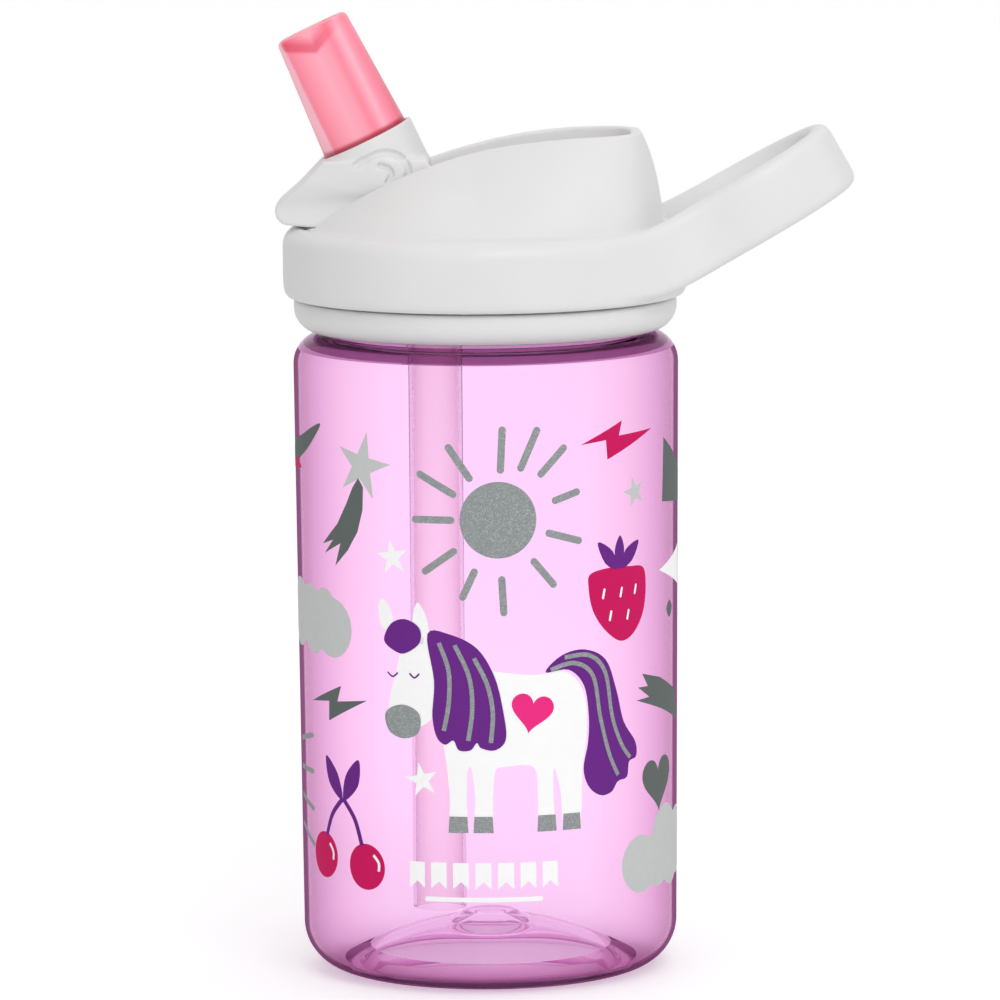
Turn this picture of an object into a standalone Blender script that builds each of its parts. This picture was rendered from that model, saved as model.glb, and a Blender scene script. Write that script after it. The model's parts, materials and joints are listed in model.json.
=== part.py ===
"""Kids water bottle with a screw cap, a carry loop and a flip-up bite spout.

Lengths below are in millimetres and are turned into metres by MM where a mesh is made.
Heights are measured from the surface the bottle stands on. The spout leans towards -X and the
carry loop reaches towards +X. Sideways distances of the bottle and cap are measured from the
bottle's own axis, and those of the spout from its pivot.
"""

import math

import bmesh
import bpy
from mathutils import Matrix, Vector

MM = 0.001
GAP = 0.3
ROUND = 48
FINE = 28

# Overall reach, which also sets where the origin lies: under the middle of the outline.
NOSE_REACH = 38.9
LOOP_REACH = 70.0
BOTTLE_X = (NOSE_REACH - LOOP_REACH) / 2

# Bottle
BODY_R = 36.5
BODY_R_LOW = 35.6
WALL = 1.8
CORNER_R = 9.0
STAND_R_IN = 24.2
SHOULDER_R = 5.8
SHOULDER_Z = 121.8
NECK_R = 31.2
NECK_BORE_R = 29.0
NECK_TOP = 135.6
PUNT_Z = 8.2
PUNT_TOP_R = 4.2
PUNT_FOOT_R = 7.6
FLOOR_WALL = 2.3

# Screw thread
PITCH = 4.0
THREAD_TURNS = 1.25
THREAD_START_Z = 127.0
THREAD_DEPTH = 1.2
THREAD_SINK = 0.3
THREAD_ROOT_HALF = 0.95
THREAD_CREST_HALF = 0.5
THREAD_OFFSET = 1.6

# Cap base
PLUG_R = 28.4
PLUG_R_IN = 27.2
PLUG_BOTTOM = NECK_TOP - 1.2
RING_ROUND = 3.0
DUCT_HALF = 5.2
DUCT_HALF_INSIDE = 3.4
DUCT_Z = 136.4
SEAL_POCKET_R = 4.7
PORT_BOSS_R = 6.0
VENT_HOLE_R = 2.3
RING_R = 36.3
RING_BOTTOM = SHOULDER_Z + 0.4
PARTING_Z = 128.5
COLLAR_R = 34.2
SKIRT_R = 32.9
DECK_BOTTOM = 138.0
DECK_TOP = 139.5

# Cap shell
BAND_R = 38.3
BAND_BOTTOM = PARTING_Z + GAP
BAND_TOP = 142.2
CEILING_Z = DECK_TOP + GAP
TROUGH_FLOOR = 141.0
TROUGH_LEFT = -31.0
CREST_LEFT = -36.4
CREST_RIGHT = 29.6
CREST_Z = 159.4
CREST_DROP = 17.4
CREST_DROP_SPAN = 62.0
CREST_POWER = 2.5
CREST_HALF_SPOUT = 10.7
CREST_HALF_END = 14.3
CREST_WIDENS_FROM = -6.0
CREST_WIDENS_OVER = 20.0
CREST_END_POWER = 4.5
FLANK_SWELL = 0.05
FLANK_SWELL_ENDS = 0.25
FLANK_LIFT = 0.10
FLANK_LIFT_ENDS = 0.09
MOUND_FOOT_R = 34.8
RIM_THICK = 1.0
SKIN = 2.0
TROUGH_WALL = 3.2

# Carry loop, a strap on edge that peels off the band
STRAP_THICK = 4.4
STRAP_HEIGHT = 12.8
LOOP_SLOPE = math.radians(29.3)
LOOP_BEND_X = 31.9
LOOP_HALF = 15.5
LOOP_TIP_X = 65.7
LOOP_LEAVE_ANGLE = math.radians(52)
LOOP_STRAIGHT_X = 46.0
LOOP_BEND_SOFTNESS = 2.6
STRAP_CORNER = 1.1
HIDDEN_DEPTH = 1.2
HIDDEN_TURN = math.radians(14)

# Spout
PIVOT_X = -14.2
PIVOT_Z = 148.0
SPOUT_LEAN = math.radians(25.3)
SPOUT_FOOT = (-8.3, 10.55)
LEVER_HALF = 9.3
LEVER_INNER_HALF = 7.8
HUB_R = 6.2
HUB_HALF = 7.5
TRUNNION_R = 2.5
TRUNNION_END = 12.0
TUBE_R = 4.8
TUBE_BORE_R = 2.9
PORT_R = 2.4
VALVE_FOOT_R = 8.4
VALVE_TIP_HALF = 7.15
VALVE_TIP_THIN = 5.6
VALVE_LENGTH = 23.4
VALVE_SUNK = 4.4
BARB_R = 5.7
NOSE_NARROWS_FROM = -14.0
NOSE_NARROWS_OVER = 11.0
NOSE_NARROWING = 0.35

# Straw, seal and vent
STRAW_X = -9.6
STRAW_R = 5.1
STRAW_BORE_R = 4.4
STRAW_BOTTOM = 12.0
STRAW_TOP = 133.4
SPIGOT_R = 4.1
SPIGOT_BORE_R = 2.7
VENT_X = 16.0


def material(name, colour, roughness, metallic=0.0):
    made = bpy.data.materials.new(name)
    made.use_nodes = True
    shader = made.node_tree.nodes["Principled BSDF"]
    shader.inputs["Base Color"].default_value = (*colour, 1.0)
    shader.inputs["Roughness"].default_value = roughness
    shader.inputs["Metallic"].default_value = metallic
    return made


def empty(name, x, z, parent=None):
    made = bpy.data.objects.new(name, None)
    made.location = (x * MM, 0, z * MM)
    made.parent = parent
    bpy.context.collection.objects.link(made)
    return made


def solid(name, bm, parent, look=None):
    """Turns a bmesh drawn in millimetres into an object under its parent empty."""
    bmesh.ops.remove_doubles(bm, verts=bm.verts, dist=1e-4)
    bmesh.ops.recalc_face_normals(bm, faces=bm.faces)
    bmesh.ops.scale(bm, vec=(MM, MM, MM), verts=bm.verts)
    mesh = bpy.data.meshes.new(name)
    bm.to_mesh(mesh)
    bm.free()
    mesh.shade_smooth()
    mesh.set_sharp_from_angle(angle=math.radians(32))
    made = bpy.data.objects.new(name, mesh)
    made.parent = parent
    if look:
        mesh.materials.append(look)
    bpy.context.collection.objects.link(made)
    return made


def combine(target, operation, name, bm):
    """Adds or cuts a helper shape, which stays in the file as a hidden wire object."""
    helper = solid(f"{target.name}_{name}", bm, target.parent)
    helper.location = target.location
    helper.rotation_euler = target.rotation_euler
    helper.hide_render = True
    helper.display_type = "WIRE"
    step = target.modifiers.new(name, "BOOLEAN")
    step.operation = operation
    step.solver = "EXACT"
    step.object = helper
    return step


def arc(centre_r, centre_z, radius, start_deg, end_deg, steps):
    angles = [math.radians(start_deg + (end_deg - start_deg) * i / steps) for i in range(steps + 1)]
    return [(centre_r + radius * math.cos(a), centre_z + radius * math.sin(a)) for a in angles]


def turned(profile, segments=ROUND, x=0.0):
    """A closed outline of (radius, height) points turned round a vertical axis at x."""
    bm = bmesh.new()
    verts = [bm.verts.new((r, 0, z)) for r, z in profile]
    edges = [bm.edges.new((verts[i], verts[(i + 1) % len(verts)])) for i in range(len(verts))]
    on_axis = [e for e in edges if all(abs(v.co.x) < 1e-6 for v in e.verts)]
    bmesh.ops.delete(bm, geom=on_axis, context="EDGES")
    bmesh.ops.spin(
        bm,
        geom=bm.verts[:] + bm.edges[:],
        cent=(0, 0, 0),
        axis=(0, 0, 1),
        angle=math.tau,
        steps=segments,
        use_merge=True,
    )
    bmesh.ops.remove_doubles(bm, verts=bm.verts, dist=1e-4)
    bmesh.ops.translate(bm, vec=(x, 0, 0), verts=bm.verts)
    return bm


def ring(inner, outer, bottom, top, segments=FINE, x=0.0):
    return turned([(inner, bottom), (outer, bottom), (outer, top), (inner, top)], segments, x)


def rod(start, end, radius, end_radius=None, segments=FINE):
    """A round bar or cone between two points."""
    start, end = Vector(start), Vector(end)
    span = end - start
    turn = span.to_track_quat("Z", "Y").to_matrix().to_4x4()
    bm = bmesh.new()
    bmesh.ops.create_cone(
        bm,
        cap_ends=True,
        segments=segments,
        radius1=radius,
        radius2=radius if end_radius is None else end_radius,
        depth=span.length,
        matrix=Matrix.Translation((start + end) / 2) @ turn,
    )
    return bm


def block(low, high):
    bm = bmesh.new()
    bmesh.ops.create_cube(bm, size=1.0)
    size = [high[i] - low[i] for i in range(3)]
    centre = [(high[i] + low[i]) / 2 for i in range(3)]
    bmesh.ops.scale(bm, vec=size, verts=bm.verts)
    bmesh.ops.translate(bm, vec=centre, verts=bm.verts)
    return bm


def prism(outline, bottom, top):
    """A plan outline of (x, y) points drawn up from one height to another."""
    bm = bmesh.new()
    face = bm.faces.new([bm.verts.new((x, y, bottom)) for x, y in outline])
    drawn = bmesh.ops.extrude_face_region(bm, geom=[face])
    raised = [v for v in drawn["geom"] if isinstance(v, bmesh.types.BMVert)]
    bmesh.ops.translate(bm, vec=(0, 0, top - bottom), verts=raised)
    return bm


def loft(sections):
    """Closed loops of equal length joined one to the next, with both ends closed."""
    bm = bmesh.new()
    loops = [[bm.verts.new(point) for point in section] for section in sections]
    for lower, upper in zip(loops, loops[1:]):
        for i in range(len(lower)):
            j = (i + 1) % len(lower)
            bm.faces.new((lower[i], lower[j], upper[j], upper[i]))
    bm.faces.new(loops[0])
    bm.faces.new(loops[-1])
    return bm


def helical_ridge(root_r, crest_r, start_z, segments=30):
    """A right-hand thread ridge whose flanks run out to nothing at both ends."""
    steps = round(segments * THREAD_TURNS)
    sections = []
    for i in range(steps + 1):
        angle = math.tau * THREAD_TURNS * i / steps
        fade = min(1.0, 0.12 + i / 6, 0.12 + (steps - i) / 6)
        crest = root_r + (crest_r - root_r) * fade
        z = start_z + PITCH * angle / math.tau
        points = (
            (root_r, z - THREAD_ROOT_HALF),
            (crest, z - THREAD_CREST_HALF),
            (crest, z + THREAD_CREST_HALF),
            (root_r, z + THREAD_ROOT_HALF),
        )
        sections.append([(r * math.cos(angle), r * math.sin(angle), h) for r, h in points])
    return loft(sections)


def bottle_profile():
    """Half section of the bottle, from the middle of its underside round to the inner floor."""
    dome = [(r, PUNT_Z - 1.9 - 4.9 * ((r - PUNT_FOOT_R) / 16) ** 1.6) for r in (PUNT_FOOT_R, 13, 18, 23)]
    outside = [(0, PUNT_Z), (PUNT_TOP_R, PUNT_Z), *dome, (STAND_R_IN, 0)]
    outside += arc(BODY_R_LOW - CORNER_R, CORNER_R, CORNER_R, -90, 0, 6)
    outside += arc(BODY_R - SHOULDER_R, SHOULDER_Z - SHOULDER_R, SHOULDER_R, 0, 90, 5)
    outside += [(NECK_R, SHOULDER_Z), (NECK_R, NECK_TOP - 0.5), (NECK_R - 0.5, NECK_TOP)]
    inner_r = SHOULDER_R - 0.8
    inside = [(NECK_BORE_R, NECK_TOP), (NECK_BORE_R, SHOULDER_Z - WALL)]
    inside += arc(BODY_R - WALL - inner_r, SHOULDER_Z - WALL - inner_r, inner_r, 90, 0, 3)[1:]
    corner = CORNER_R - WALL
    inside += arc(BODY_R_LOW - CORNER_R, CORNER_R, corner, 0, -80, 4)
    inside += [(r, z + FLOOR_WALL) for r, z in reversed(dome)][1:]
    inside += [(PUNT_TOP_R + 0.6, PUNT_Z + FLOOR_WALL), (0, PUNT_Z + FLOOR_WALL)]
    return outside + inside


def make_bottle(parent, look):
    bottle = solid("bottle_body", turned(bottle_profile()), parent, look)
    ridge = helical_ridge(NECK_R - THREAD_SINK, NECK_R + THREAD_DEPTH, THREAD_START_Z)
    combine(bottle, "UNION", "thread", ridge)


def duct_outline():
    """Plan of the duct under the deck, a box with cut corners from the port to the straw."""
    wide, narrow = DUCT_HALF, DUCT_HALF_INSIDE
    return [
        (PIVOT_X - wide, -narrow),
        (PIVOT_X - wide, narrow),
        (PIVOT_X - narrow, wide),
        (STRAW_X + narrow, wide),
        (STRAW_X + wide, narrow),
        (STRAW_X + wide, -narrow),
        (STRAW_X + narrow, -wide),
        (PIVOT_X - narrow, -wide),
    ]


def make_cap_base(parent, look):
    """Threaded inner cap: skirt, deck, plug wall, straw spigot, port boss and vent hole."""
    skirt = [
        (0, DECK_BOTTOM),
        (PLUG_R_IN, DECK_BOTTOM),
        (PLUG_R_IN, PLUG_BOTTOM),
        (PLUG_R, PLUG_BOTTOM),
        (PLUG_R, DECK_BOTTOM),
        (SKIRT_R, DECK_BOTTOM),
        (SKIRT_R, RING_BOTTOM + 0.8),
        (SKIRT_R + 0.5, RING_BOTTOM),
    ]
    skirt += arc(RING_R - RING_ROUND, RING_BOTTOM + RING_ROUND, RING_ROUND, -80, 0, 5)
    skirt += [(RING_R, PARTING_Z), (COLLAR_R, PARTING_Z), (COLLAR_R, DECK_TOP), (0, DECK_TOP)]
    base = solid("cap_base", turned(skirt), parent, look)
    ridge = helical_ridge(SKIRT_R + THREAD_SINK, SKIRT_R - THREAD_DEPTH, THREAD_START_Z - THREAD_OFFSET)
    combine(base, "UNION", "thread", ridge)
    combine(base, "UNION", "duct", prism(duct_outline(), STRAW_TOP + 1.0, DECK_BOTTOM + 0.5))
    combine(base, "UNION", "spigot", rod((STRAW_X, 0, 125.0), (STRAW_X, 0, 136.0), SPIGOT_R - 0.3, SPIGOT_R))
    combine(base, "UNION", "port_boss", rod((PIVOT_X, 0, 138.5), (PIVOT_X, 0, TROUGH_FLOOR), PORT_BOSS_R))
    combine(base, "DIFFERENCE", "spigot_bore", rod((STRAW_X, 0, 124.0), (STRAW_X, 0, 137.3), SPIGOT_BORE_R))
    combine(base, "DIFFERENCE", "cross_duct", rod((PIVOT_X, 0, DUCT_Z), (STRAW_X, 0, DUCT_Z), 1.7))
    combine(base, "DIFFERENCE", "port", rod((PIVOT_X, 0, 134.9), (PIVOT_X, 0, 143.0), PORT_R))
    combine(base, "DIFFERENCE", "seal_pocket", rod((PIVOT_X, 0, 138.4), (PIVOT_X, 0, 143.5), SEAL_POCKET_R))
    combine(base, "DIFFERENCE", "vent_hole", rod((VENT_X, 0, 137.0), (VENT_X, 0, 141.0), VENT_HOLE_R))


def crest_half(x):
    """Half the distance between the two crests of the trough at a place along it."""
    middle = (CREST_LEFT + CREST_RIGHT) / 2
    reach = (CREST_RIGHT - CREST_LEFT) / 2
    along = min(1.0, abs(x - middle) / reach)
    widening = min(1.0, max(0.0, (x - CREST_WIDENS_FROM) / CREST_WIDENS_OVER))
    widening = widening * widening * (3 - 2 * widening)
    widest = CREST_HALF_SPOUT + (CREST_HALF_END - CREST_HALF_SPOUT) * widening
    return widest * (1 - along**CREST_END_POWER) ** (1 / CREST_END_POWER)


def crest_height(x):
    """Height of the crest line, which falls away faster the nearer it gets to the spout end."""
    run = max(0.0, CREST_RIGHT - 0.6 - x)
    drop = CREST_DROP * (run / CREST_DROP_SPAN) ** CREST_POWER
    return max(CREST_Z - drop, CEILING_Z + 0.6)


def mound(inset=0.0, steps=14, rows=4):
    """The raised back of the cap: flanks that rise from a circle to the two crests of the trough."""
    middle = (CREST_LEFT + CREST_RIGHT) / 2
    reach = (CREST_RIGHT - CREST_LEFT) / 2 - inset
    foot_r = MOUND_FOOT_R - inset
    foot_z = CEILING_Z - (0.6 if inset else -0.4)
    angles = [math.pi * i / steps for i in range(steps + 1)]
    loops = []
    for row in range(rows + 1):
        t = row / rows
        loop = []
        for side in (1, -1):
            for a in angles[:-1] if side == 1 else reversed(angles[1:]):
                x_top = middle + reach * math.cos(a)
                top = Vector((x_top, side * max(0.0, crest_half(x_top) - inset), crest_height(x_top) - inset))
                foot = Vector((foot_r * math.cos(a), side * foot_r * math.sin(a), foot_z))
                bulge = foot.lerp(top, 0.5)
                end_on = abs(math.cos(a))
                outwards = Vector((foot.x - top.x, foot.y - top.y, 0))
                bulge += outwards * (FLANK_SWELL + FLANK_SWELL_ENDS * end_on)
                bulge.z += (top.z - foot.z) * (FLANK_LIFT + FLANK_LIFT_ENDS * end_on)
                loop.append(foot * (1 - t) ** 2 + bulge * 2 * t * (1 - t) + top * t * t)
        loops.append(loop)
    bm = bmesh.new()
    rings = [[bm.verts.new(point) for point in loop] for loop in loops]
    count = len(rings[0])
    for lower, upper in zip(rings, rings[1:]):
        for i in range(count):
            j = (i + 1) % count
            bm.faces.new((lower[i], lower[j], upper[j], upper[i]))
    bm.faces.new(rings[0])
    top = rings[-1]
    for i in range(steps):
        near, far = [top[i], top[i + 1]], [top[-i], top[-(i + 1)]]
        corners = [near[0], near[1], far[1]] + ([far[0]] if i else [])
        if i == steps - 1:
            corners = [near[0], near[1], far[0]]
        bm.faces.new(corners)
    return bm


def trough_outline(margin=0.0, steps=12):
    """Plan of the trough the spout folds into, square at the spout end and round at the other."""
    end = CREST_RIGHT - 1.5 + margin
    xs = [TROUGH_LEFT - margin, -20.0, -6.0, 0.0, 6.0, 12.0, 18.0]
    xs += [18 + (end - 18) * math.sin(math.pi / 2 * i / 6) for i in range(1, 6)]
    half = [max(crest_half(min(x, CREST_RIGHT)) - RIM_THICK, LEVER_HALF + 0.35) for x in xs[:7]]
    half += [half[6] * math.cos(math.pi / 2 * i / 6) ** 0.6 for i in range(1, 6)]
    near = [(x, -(h + margin)) for x, h in zip(xs, half)]
    far = [(x, h + margin) for x, h in zip(xs, half)]
    return near + [(end, 0)] + list(reversed(far))


def loop_sections():
    """Sections of the strap from one side of the band, round the hand loop, to the other side."""
    leave_r = BAND_R - STRAP_THICK / 2 - 0.25
    start = Vector((leave_r * math.cos(LOOP_LEAVE_ANGLE), leave_r * math.sin(LOOP_LEAVE_ANGLE)))
    tangent = Vector((math.sin(LOOP_LEAVE_ANGLE), -math.cos(LOOP_LEAVE_ANGLE)))
    straight = Vector((LOOP_STRAIGHT_X, LOOP_HALF))
    hidden_r = leave_r - HIDDEN_DEPTH
    hidden_angle = LOOP_LEAVE_ANGLE + HIDDEN_TURN
    hidden = Vector((hidden_r * math.cos(hidden_angle), hidden_r * math.sin(hidden_angle)))
    plan = [hidden, start]
    for i in range(1, 7):
        t = i / 6
        a, b = start + tangent * 9, straight - Vector((10, 0))
        point = start * (1 - t) ** 3 + a * 3 * t * (1 - t) ** 2 + b * 3 * t * t * (1 - t) + straight * t**3
        plan.append(point)
    reach = LOOP_TIP_X - straight.x
    for i in range(1, 9):
        a = math.pi / 2 * i / 8
        plan.append(Vector((straight.x + reach * math.sin(a) ** 0.9, LOOP_HALF * math.cos(a) ** 0.8)))
    half = plan[:-1] + [Vector((LOOP_TIP_X, 0))]
    path = half + [Vector((p.x, -p.y)) for p in reversed(half[:-1])]
    centre_z = (BAND_BOTTOM + BAND_TOP) / 2
    rise = math.tan(LOOP_SLOPE)
    sections = []
    for i, point in enumerate(path):
        ahead, behind = path[min(i + 1, len(path) - 1)], path[max(i - 1, 0)]
        along = (ahead - behind).normalized()
        push = (point.x - LOOP_BEND_X) / LOOP_BEND_SOFTNESS
        z = centre_z + rise * LOOP_BEND_SOFTNESS * math.log1p(math.exp(push))
        slope = math.atan(rise / (1 + math.exp(-push)))
        up = Vector((-math.sin(slope), 0, math.cos(slope)))
        direction = Vector((along.x, along.y, math.tan(slope) * along.x)).normalized()
        side = direction.cross(up).normalized()
        middle = Vector((point.x, point.y, z))
        tall, wide, cut = STRAP_HEIGHT / 2, STRAP_THICK / 2, STRAP_CORNER
        corners = [
            (-wide, -tall + cut),
            (-wide + cut, -tall),
            (wide - cut, -tall),
            (wide, -tall + cut),
            (wide, tall - cut),
            (wide - cut, tall),
            (-wide + cut, tall),
            (-wide, tall - cut),
        ]
        sections.append([middle + side * s + up * h for s, h in corners])
    return sections


def make_cap_shell(parent, look):
    """Outer cap: band, raised back with its trough, and carry loop, all one moulding."""
    edge = 3.6
    band = [(0, BAND_BOTTOM), (BAND_R - 0.6, BAND_BOTTOM), (BAND_R - 0.2, BAND_BOTTOM + 1.2)]
    band += arc(BAND_R - edge, BAND_TOP - edge, edge, 0, 90, 5) + [(0, BAND_TOP)]
    shell = solid("cap_shell", turned(band), parent, look)
    combine(shell, "UNION", "mound", mound())
    combine(shell, "UNION", "carry_loop", loft(loop_sections()))
    pocket = rod((0, 0, 120), (0, 0, CEILING_Z), COLLAR_R + GAP, segments=ROUND)
    combine(shell, "DIFFERENCE", "pocket", pocket)
    hollow = solid("cap_shell_hollow", mound(inset=SKIN, steps=12, rows=3), parent)
    hollow.hide_render = True
    hollow.display_type = "WIRE"
    combine(hollow, "DIFFERENCE", "trough_wall", prism(trough_outline(TROUGH_WALL), CEILING_Z - 1, 180))
    cut = shell.modifiers.new("hollow", "BOOLEAN")
    cut.operation = "DIFFERENCE"
    cut.solver = "EXACT"
    cut.object = hollow
    combine(shell, "DIFFERENCE", "trough", prism(trough_outline(), TROUGH_FLOOR, 180))
    rest_half = LEVER_HALF + 0.4
    nose_rest = block((-42, -rest_half, BAND_TOP + 0.15), (TROUGH_LEFT + 1, rest_half, 160))
    combine(shell, "DIFFERENCE", "nose_rest", nose_rest)
    combine(shell, "DIFFERENCE", "port_window", rod((PIVOT_X, 0, 139), (PIVOT_X, 0, 142), 6.4))
    bore_end = TRUNNION_END + 0.4
    bore = rod((PIVOT_X, -bore_end, PIVOT_Z), (PIVOT_X, bore_end, PIVOT_Z), TRUNNION_R + GAP)
    combine(shell, "DIFFERENCE", "trunnion_bores", bore)
    combine(shell, "DIFFERENCE", "vent_outlet", rod((VENT_X, 0, 139), (VENT_X, 0, 142), 0.9, segments=12))


def spout_point(along):
    """A place on the spout's axis, measured from the rim of its collar."""
    x = SPOUT_FOOT[0] - along * math.sin(SPOUT_LEAN)
    z = SPOUT_FOOT[1] + along * math.cos(SPOUT_LEAN)
    return (x, 0, z)


def along_spout(bm):
    """Moves a shape drawn on the vertical axis onto the spout's axis."""
    bmesh.ops.rotate(bm, cent=(0, 0, 0), matrix=Matrix.Rotation(-SPOUT_LEAN, 3, "Y"), verts=bm.verts)
    bmesh.ops.translate(bm, vec=spout_point(0), verts=bm.verts)
    return bm


def make_lever(parent, look):
    """White spout lever: a thumb nose, a round collar for the valve and two side walls on the hub."""
    outline = [(-15.9, 6.9), (-20.7, 2.0), (-24.2, -1.2), (-24.7, -2.6), (-23.6, -4.7), (-20.5, -5.3)]
    outline += [(-13.0, -5.6), (-6.0, -6.1)]
    outline += arc(0, 0, 6.6, -96, 0, 7)
    outline += [(5.4, 4.6), (4.4, 7.3)]
    bm = bmesh.new()
    face = bm.faces.new([bm.verts.new((x, -LEVER_HALF, z)) for x, z in outline])
    drawn = bmesh.ops.extrude_face_region(bm, geom=[face])
    moved = [v for v in drawn["geom"] if isinstance(v, bmesh.types.BMVert)]
    bmesh.ops.translate(bm, vec=(0, 2 * LEVER_HALF, 0), verts=moved)
    for vert in bm.verts:
        narrowing = max(0.0, (NOSE_NARROWS_FROM - vert.co.x) / NOSE_NARROWS_OVER)
        vert.co.y *= 1 - NOSE_NARROWING * narrowing**2
    rims = [e for e in bm.edges if abs(e.verts[0].co.y * e.verts[1].co.y) > 1 and e.calc_length() < 17]
    rims = [e for e in rims if e.verts[0].co.y * e.verts[1].co.y > 0]
    bmesh.ops.bevel(bm, geom=rims, offset=1.2, segments=2, profile=0.5, affect="EDGES", clamp_overlap=True)
    lever = solid("spout_lever", bm, parent, look)
    combine(lever, "UNION", "collar", rod(spout_point(-8.5), spout_point(0), 9.25, 9.4, segments=32))
    combine(lever, "DIFFERENCE", "valve_seat", rod(spout_point(-5.0), spout_point(3), VALVE_FOOT_R + GAP))
    combine(lever, "DIFFERENCE", "tube_way", rod(spout_point(-12.4), spout_point(0), TUBE_R + GAP))
    half = LEVER_INNER_HALF
    hub = rod((0, -half, 0), (0, half, 0), HUB_R + GAP, segments=32)
    combine(lever, "DIFFERENCE", "hub_way", hub)
    combine(lever, "DIFFERENCE", "open_back", block((-2.0, -half, -9), (12, half, 7.8)))
    combine(lever, "DIFFERENCE", "open_floor", block((-6.8, -half, -9), (2, half, -1.5)))
    holes = rod((0, -15, 0), (0, 15, 0), TRUNNION_R + GAP)
    combine(lever, "DIFFERENCE", "trunnion_holes", holes)


def make_stem(parent, look):
    """Waterway core: the turning hub with its port, two trunnions and the barbed tube."""
    hub = rod((0, -HUB_HALF, 0), (0, HUB_HALF, 0), HUB_R, segments=32)
    stem = solid("spout_stem", hub, parent, look)
    ends = rod((0, -TRUNNION_END, 0), (0, TRUNNION_END, 0), TRUNNION_R)
    combine(stem, "UNION", "trunnions", ends)
    tube = [(0, -12.0), (TUBE_R, -12.0), (TUBE_R, 3.0), (BARB_R, 3.0), (4.3, 6.6), (4.3, 7.0), (0, 7.0)]
    combine(stem, "UNION", "tube", along_spout(turned(tube, FINE)))
    combine(stem, "DIFFERENCE", "bore", rod(spout_point(-11.3), spout_point(9.0), TUBE_BORE_R, segments=20))
    combine(stem, "DIFFERENCE", "port", rod((0, 0, -9), (0, 0, 1.3), PORT_R, segments=18))


def oval(half_x, half_y, z, power=2.0, points=FINE):
    """A section of the valve: an ellipse at power 2, squarer above that."""
    loop = []
    for i in range(points):
        a = math.tau * i / points
        c, s = math.cos(a), math.sin(a)
        reach = (abs(c) ** power + abs(s) ** power) ** (-1 / power)
        loop.append((half_x * reach * c, half_y * reach * s, z))
    return loop


def make_bite_valve(parent, look):
    """Soft mouthpiece: a sleeve over the barb that flattens to a slit tip."""
    foot, tip = VALVE_FOOT_R, VALVE_TIP_HALF
    outside = [oval(foot * 0.93, foot * 0.93, -VALVE_SUNK), oval(foot, foot, -VALVE_SUNK + 0.8)]
    for i in range(6):
        t = i / 5
        thin = foot + (VALVE_TIP_THIN - foot) * t**1.5
        outside.append(oval(foot + (tip - foot) * t, thin, (VALVE_LENGTH - 1.6) * t, 2 + 0.8 * t))
    outside.append(oval(tip - 0.5, VALVE_TIP_THIN - 0.5, VALVE_LENGTH - 0.5, 2.8))
    outside.append(oval(tip - 1.7, VALVE_TIP_THIN - 1.7, VALVE_LENGTH, 2.8))
    valve = solid("bite_valve", loft(outside), parent, look)
    valve.location = Vector(spout_point(0)) * MM
    valve.rotation_euler = (0, -SPOUT_LEAN, 0)
    inside = [
        oval(5.15, 5.15, -VALVE_SUNK - 1),
        oval(5.15, 5.15, 2.2),
        oval(6.1, 6.1, 2.7),
        oval(6.0, 5.9, 8.0),
        oval(5.2, 4.2, 16.0),
        oval(4.4, 2.6, 19.6),
    ]
    combine(valve, "DIFFERENCE", "cavity", loft(inside))
    combine(valve, "DIFFERENCE", "slit", block((-3.6, -0.2, 18.0), (3.6, 0.2, VALVE_LENGTH + 1)))


def make_port_seal(parent, look):
    """Soft ring whose top is hollowed to the hub that turns over it."""
    seal = solid("port_seal", ring(2.6, 4.4, 138.7, 143.0, x=PIVOT_X), parent, look)
    seat = rod((PIVOT_X, -9, PIVOT_Z), (PIVOT_X, 9, PIVOT_Z), HUB_R + GAP, segments=32)
    combine(seal, "DIFFERENCE", "saddle", seat)


def make_vent_valve(parent, look):
    """Duckbill vent plug under the deck, open along its middle."""
    profile = [(0.6, 132.6), (1.1, 132.6), (2.0, 135.2), (3.2, 136.6), (3.2, 137.7)]
    profile += [(2.0, 137.7), (2.0, 139.3), (0.6, 139.3)]
    solid("vent_valve", turned(profile, 20, VENT_X), parent, look)


def make_straw(parent, look):
    solid("straw", ring(STRAW_BORE_R, STRAW_R, STRAW_BOTTOM, STRAW_TOP, x=STRAW_X), parent, look)


def make_gasket(parent, look):
    profile = [(28.8, 136.0), (29.2, 135.9), (32.1, 135.9), (32.5, 136.3), (32.5, 137.3)]
    profile += [(32.1, 137.7), (29.2, 137.7), (28.8, 137.3)]
    solid("cap_gasket", turned(profile), parent, look)


def main():
    for old in list(bpy.data.objects):
        bpy.data.objects.remove(old)
    clear_pink = material("clear_pink_plastic", (0.93, 0.62, 0.90), 0.08)
    white = material("white_plastic", (0.84, 0.84, 0.84), 0.38)
    natural = material("frosted_plastic", (0.86, 0.84, 0.86), 0.35)
    pink = material("pink_silicone", (0.95, 0.32, 0.40), 0.42)
    grey = material("grey_silicone", (0.62, 0.63, 0.65), 0.55)
    straw_look = material("straw_plastic", (0.93, 0.86, 0.93), 0.15)

    bottle_axis = empty("bottle_axis", BOTTLE_X, 0)
    cap_axis = empty("cap_axis", 0, 0, bottle_axis)
    spout_pivot = empty("spout_pivot", PIVOT_X, PIVOT_Z, cap_axis)

    make_bottle(bottle_axis, clear_pink)
    make_gasket(cap_axis, grey)
    make_cap_base(cap_axis, white)
    make_cap_shell(cap_axis, white)
    make_port_seal(cap_axis, grey)
    make_vent_valve(cap_axis, grey)
    make_straw(cap_axis, straw_look)
    make_stem(spout_pivot, natural)
    make_lever(spout_pivot, white)
    make_bite_valve(spout_pivot, pink)


main()
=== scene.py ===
"""Looks of a kids water bottle: clear pink body, white screw cap with a carry loop, flip-up spout.

Lengths are in millimetres measured from the bottle's own axis and from the ground it stands on.
They become metres in the shared frame when a mesh is made, in the function piece().
"""

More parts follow.
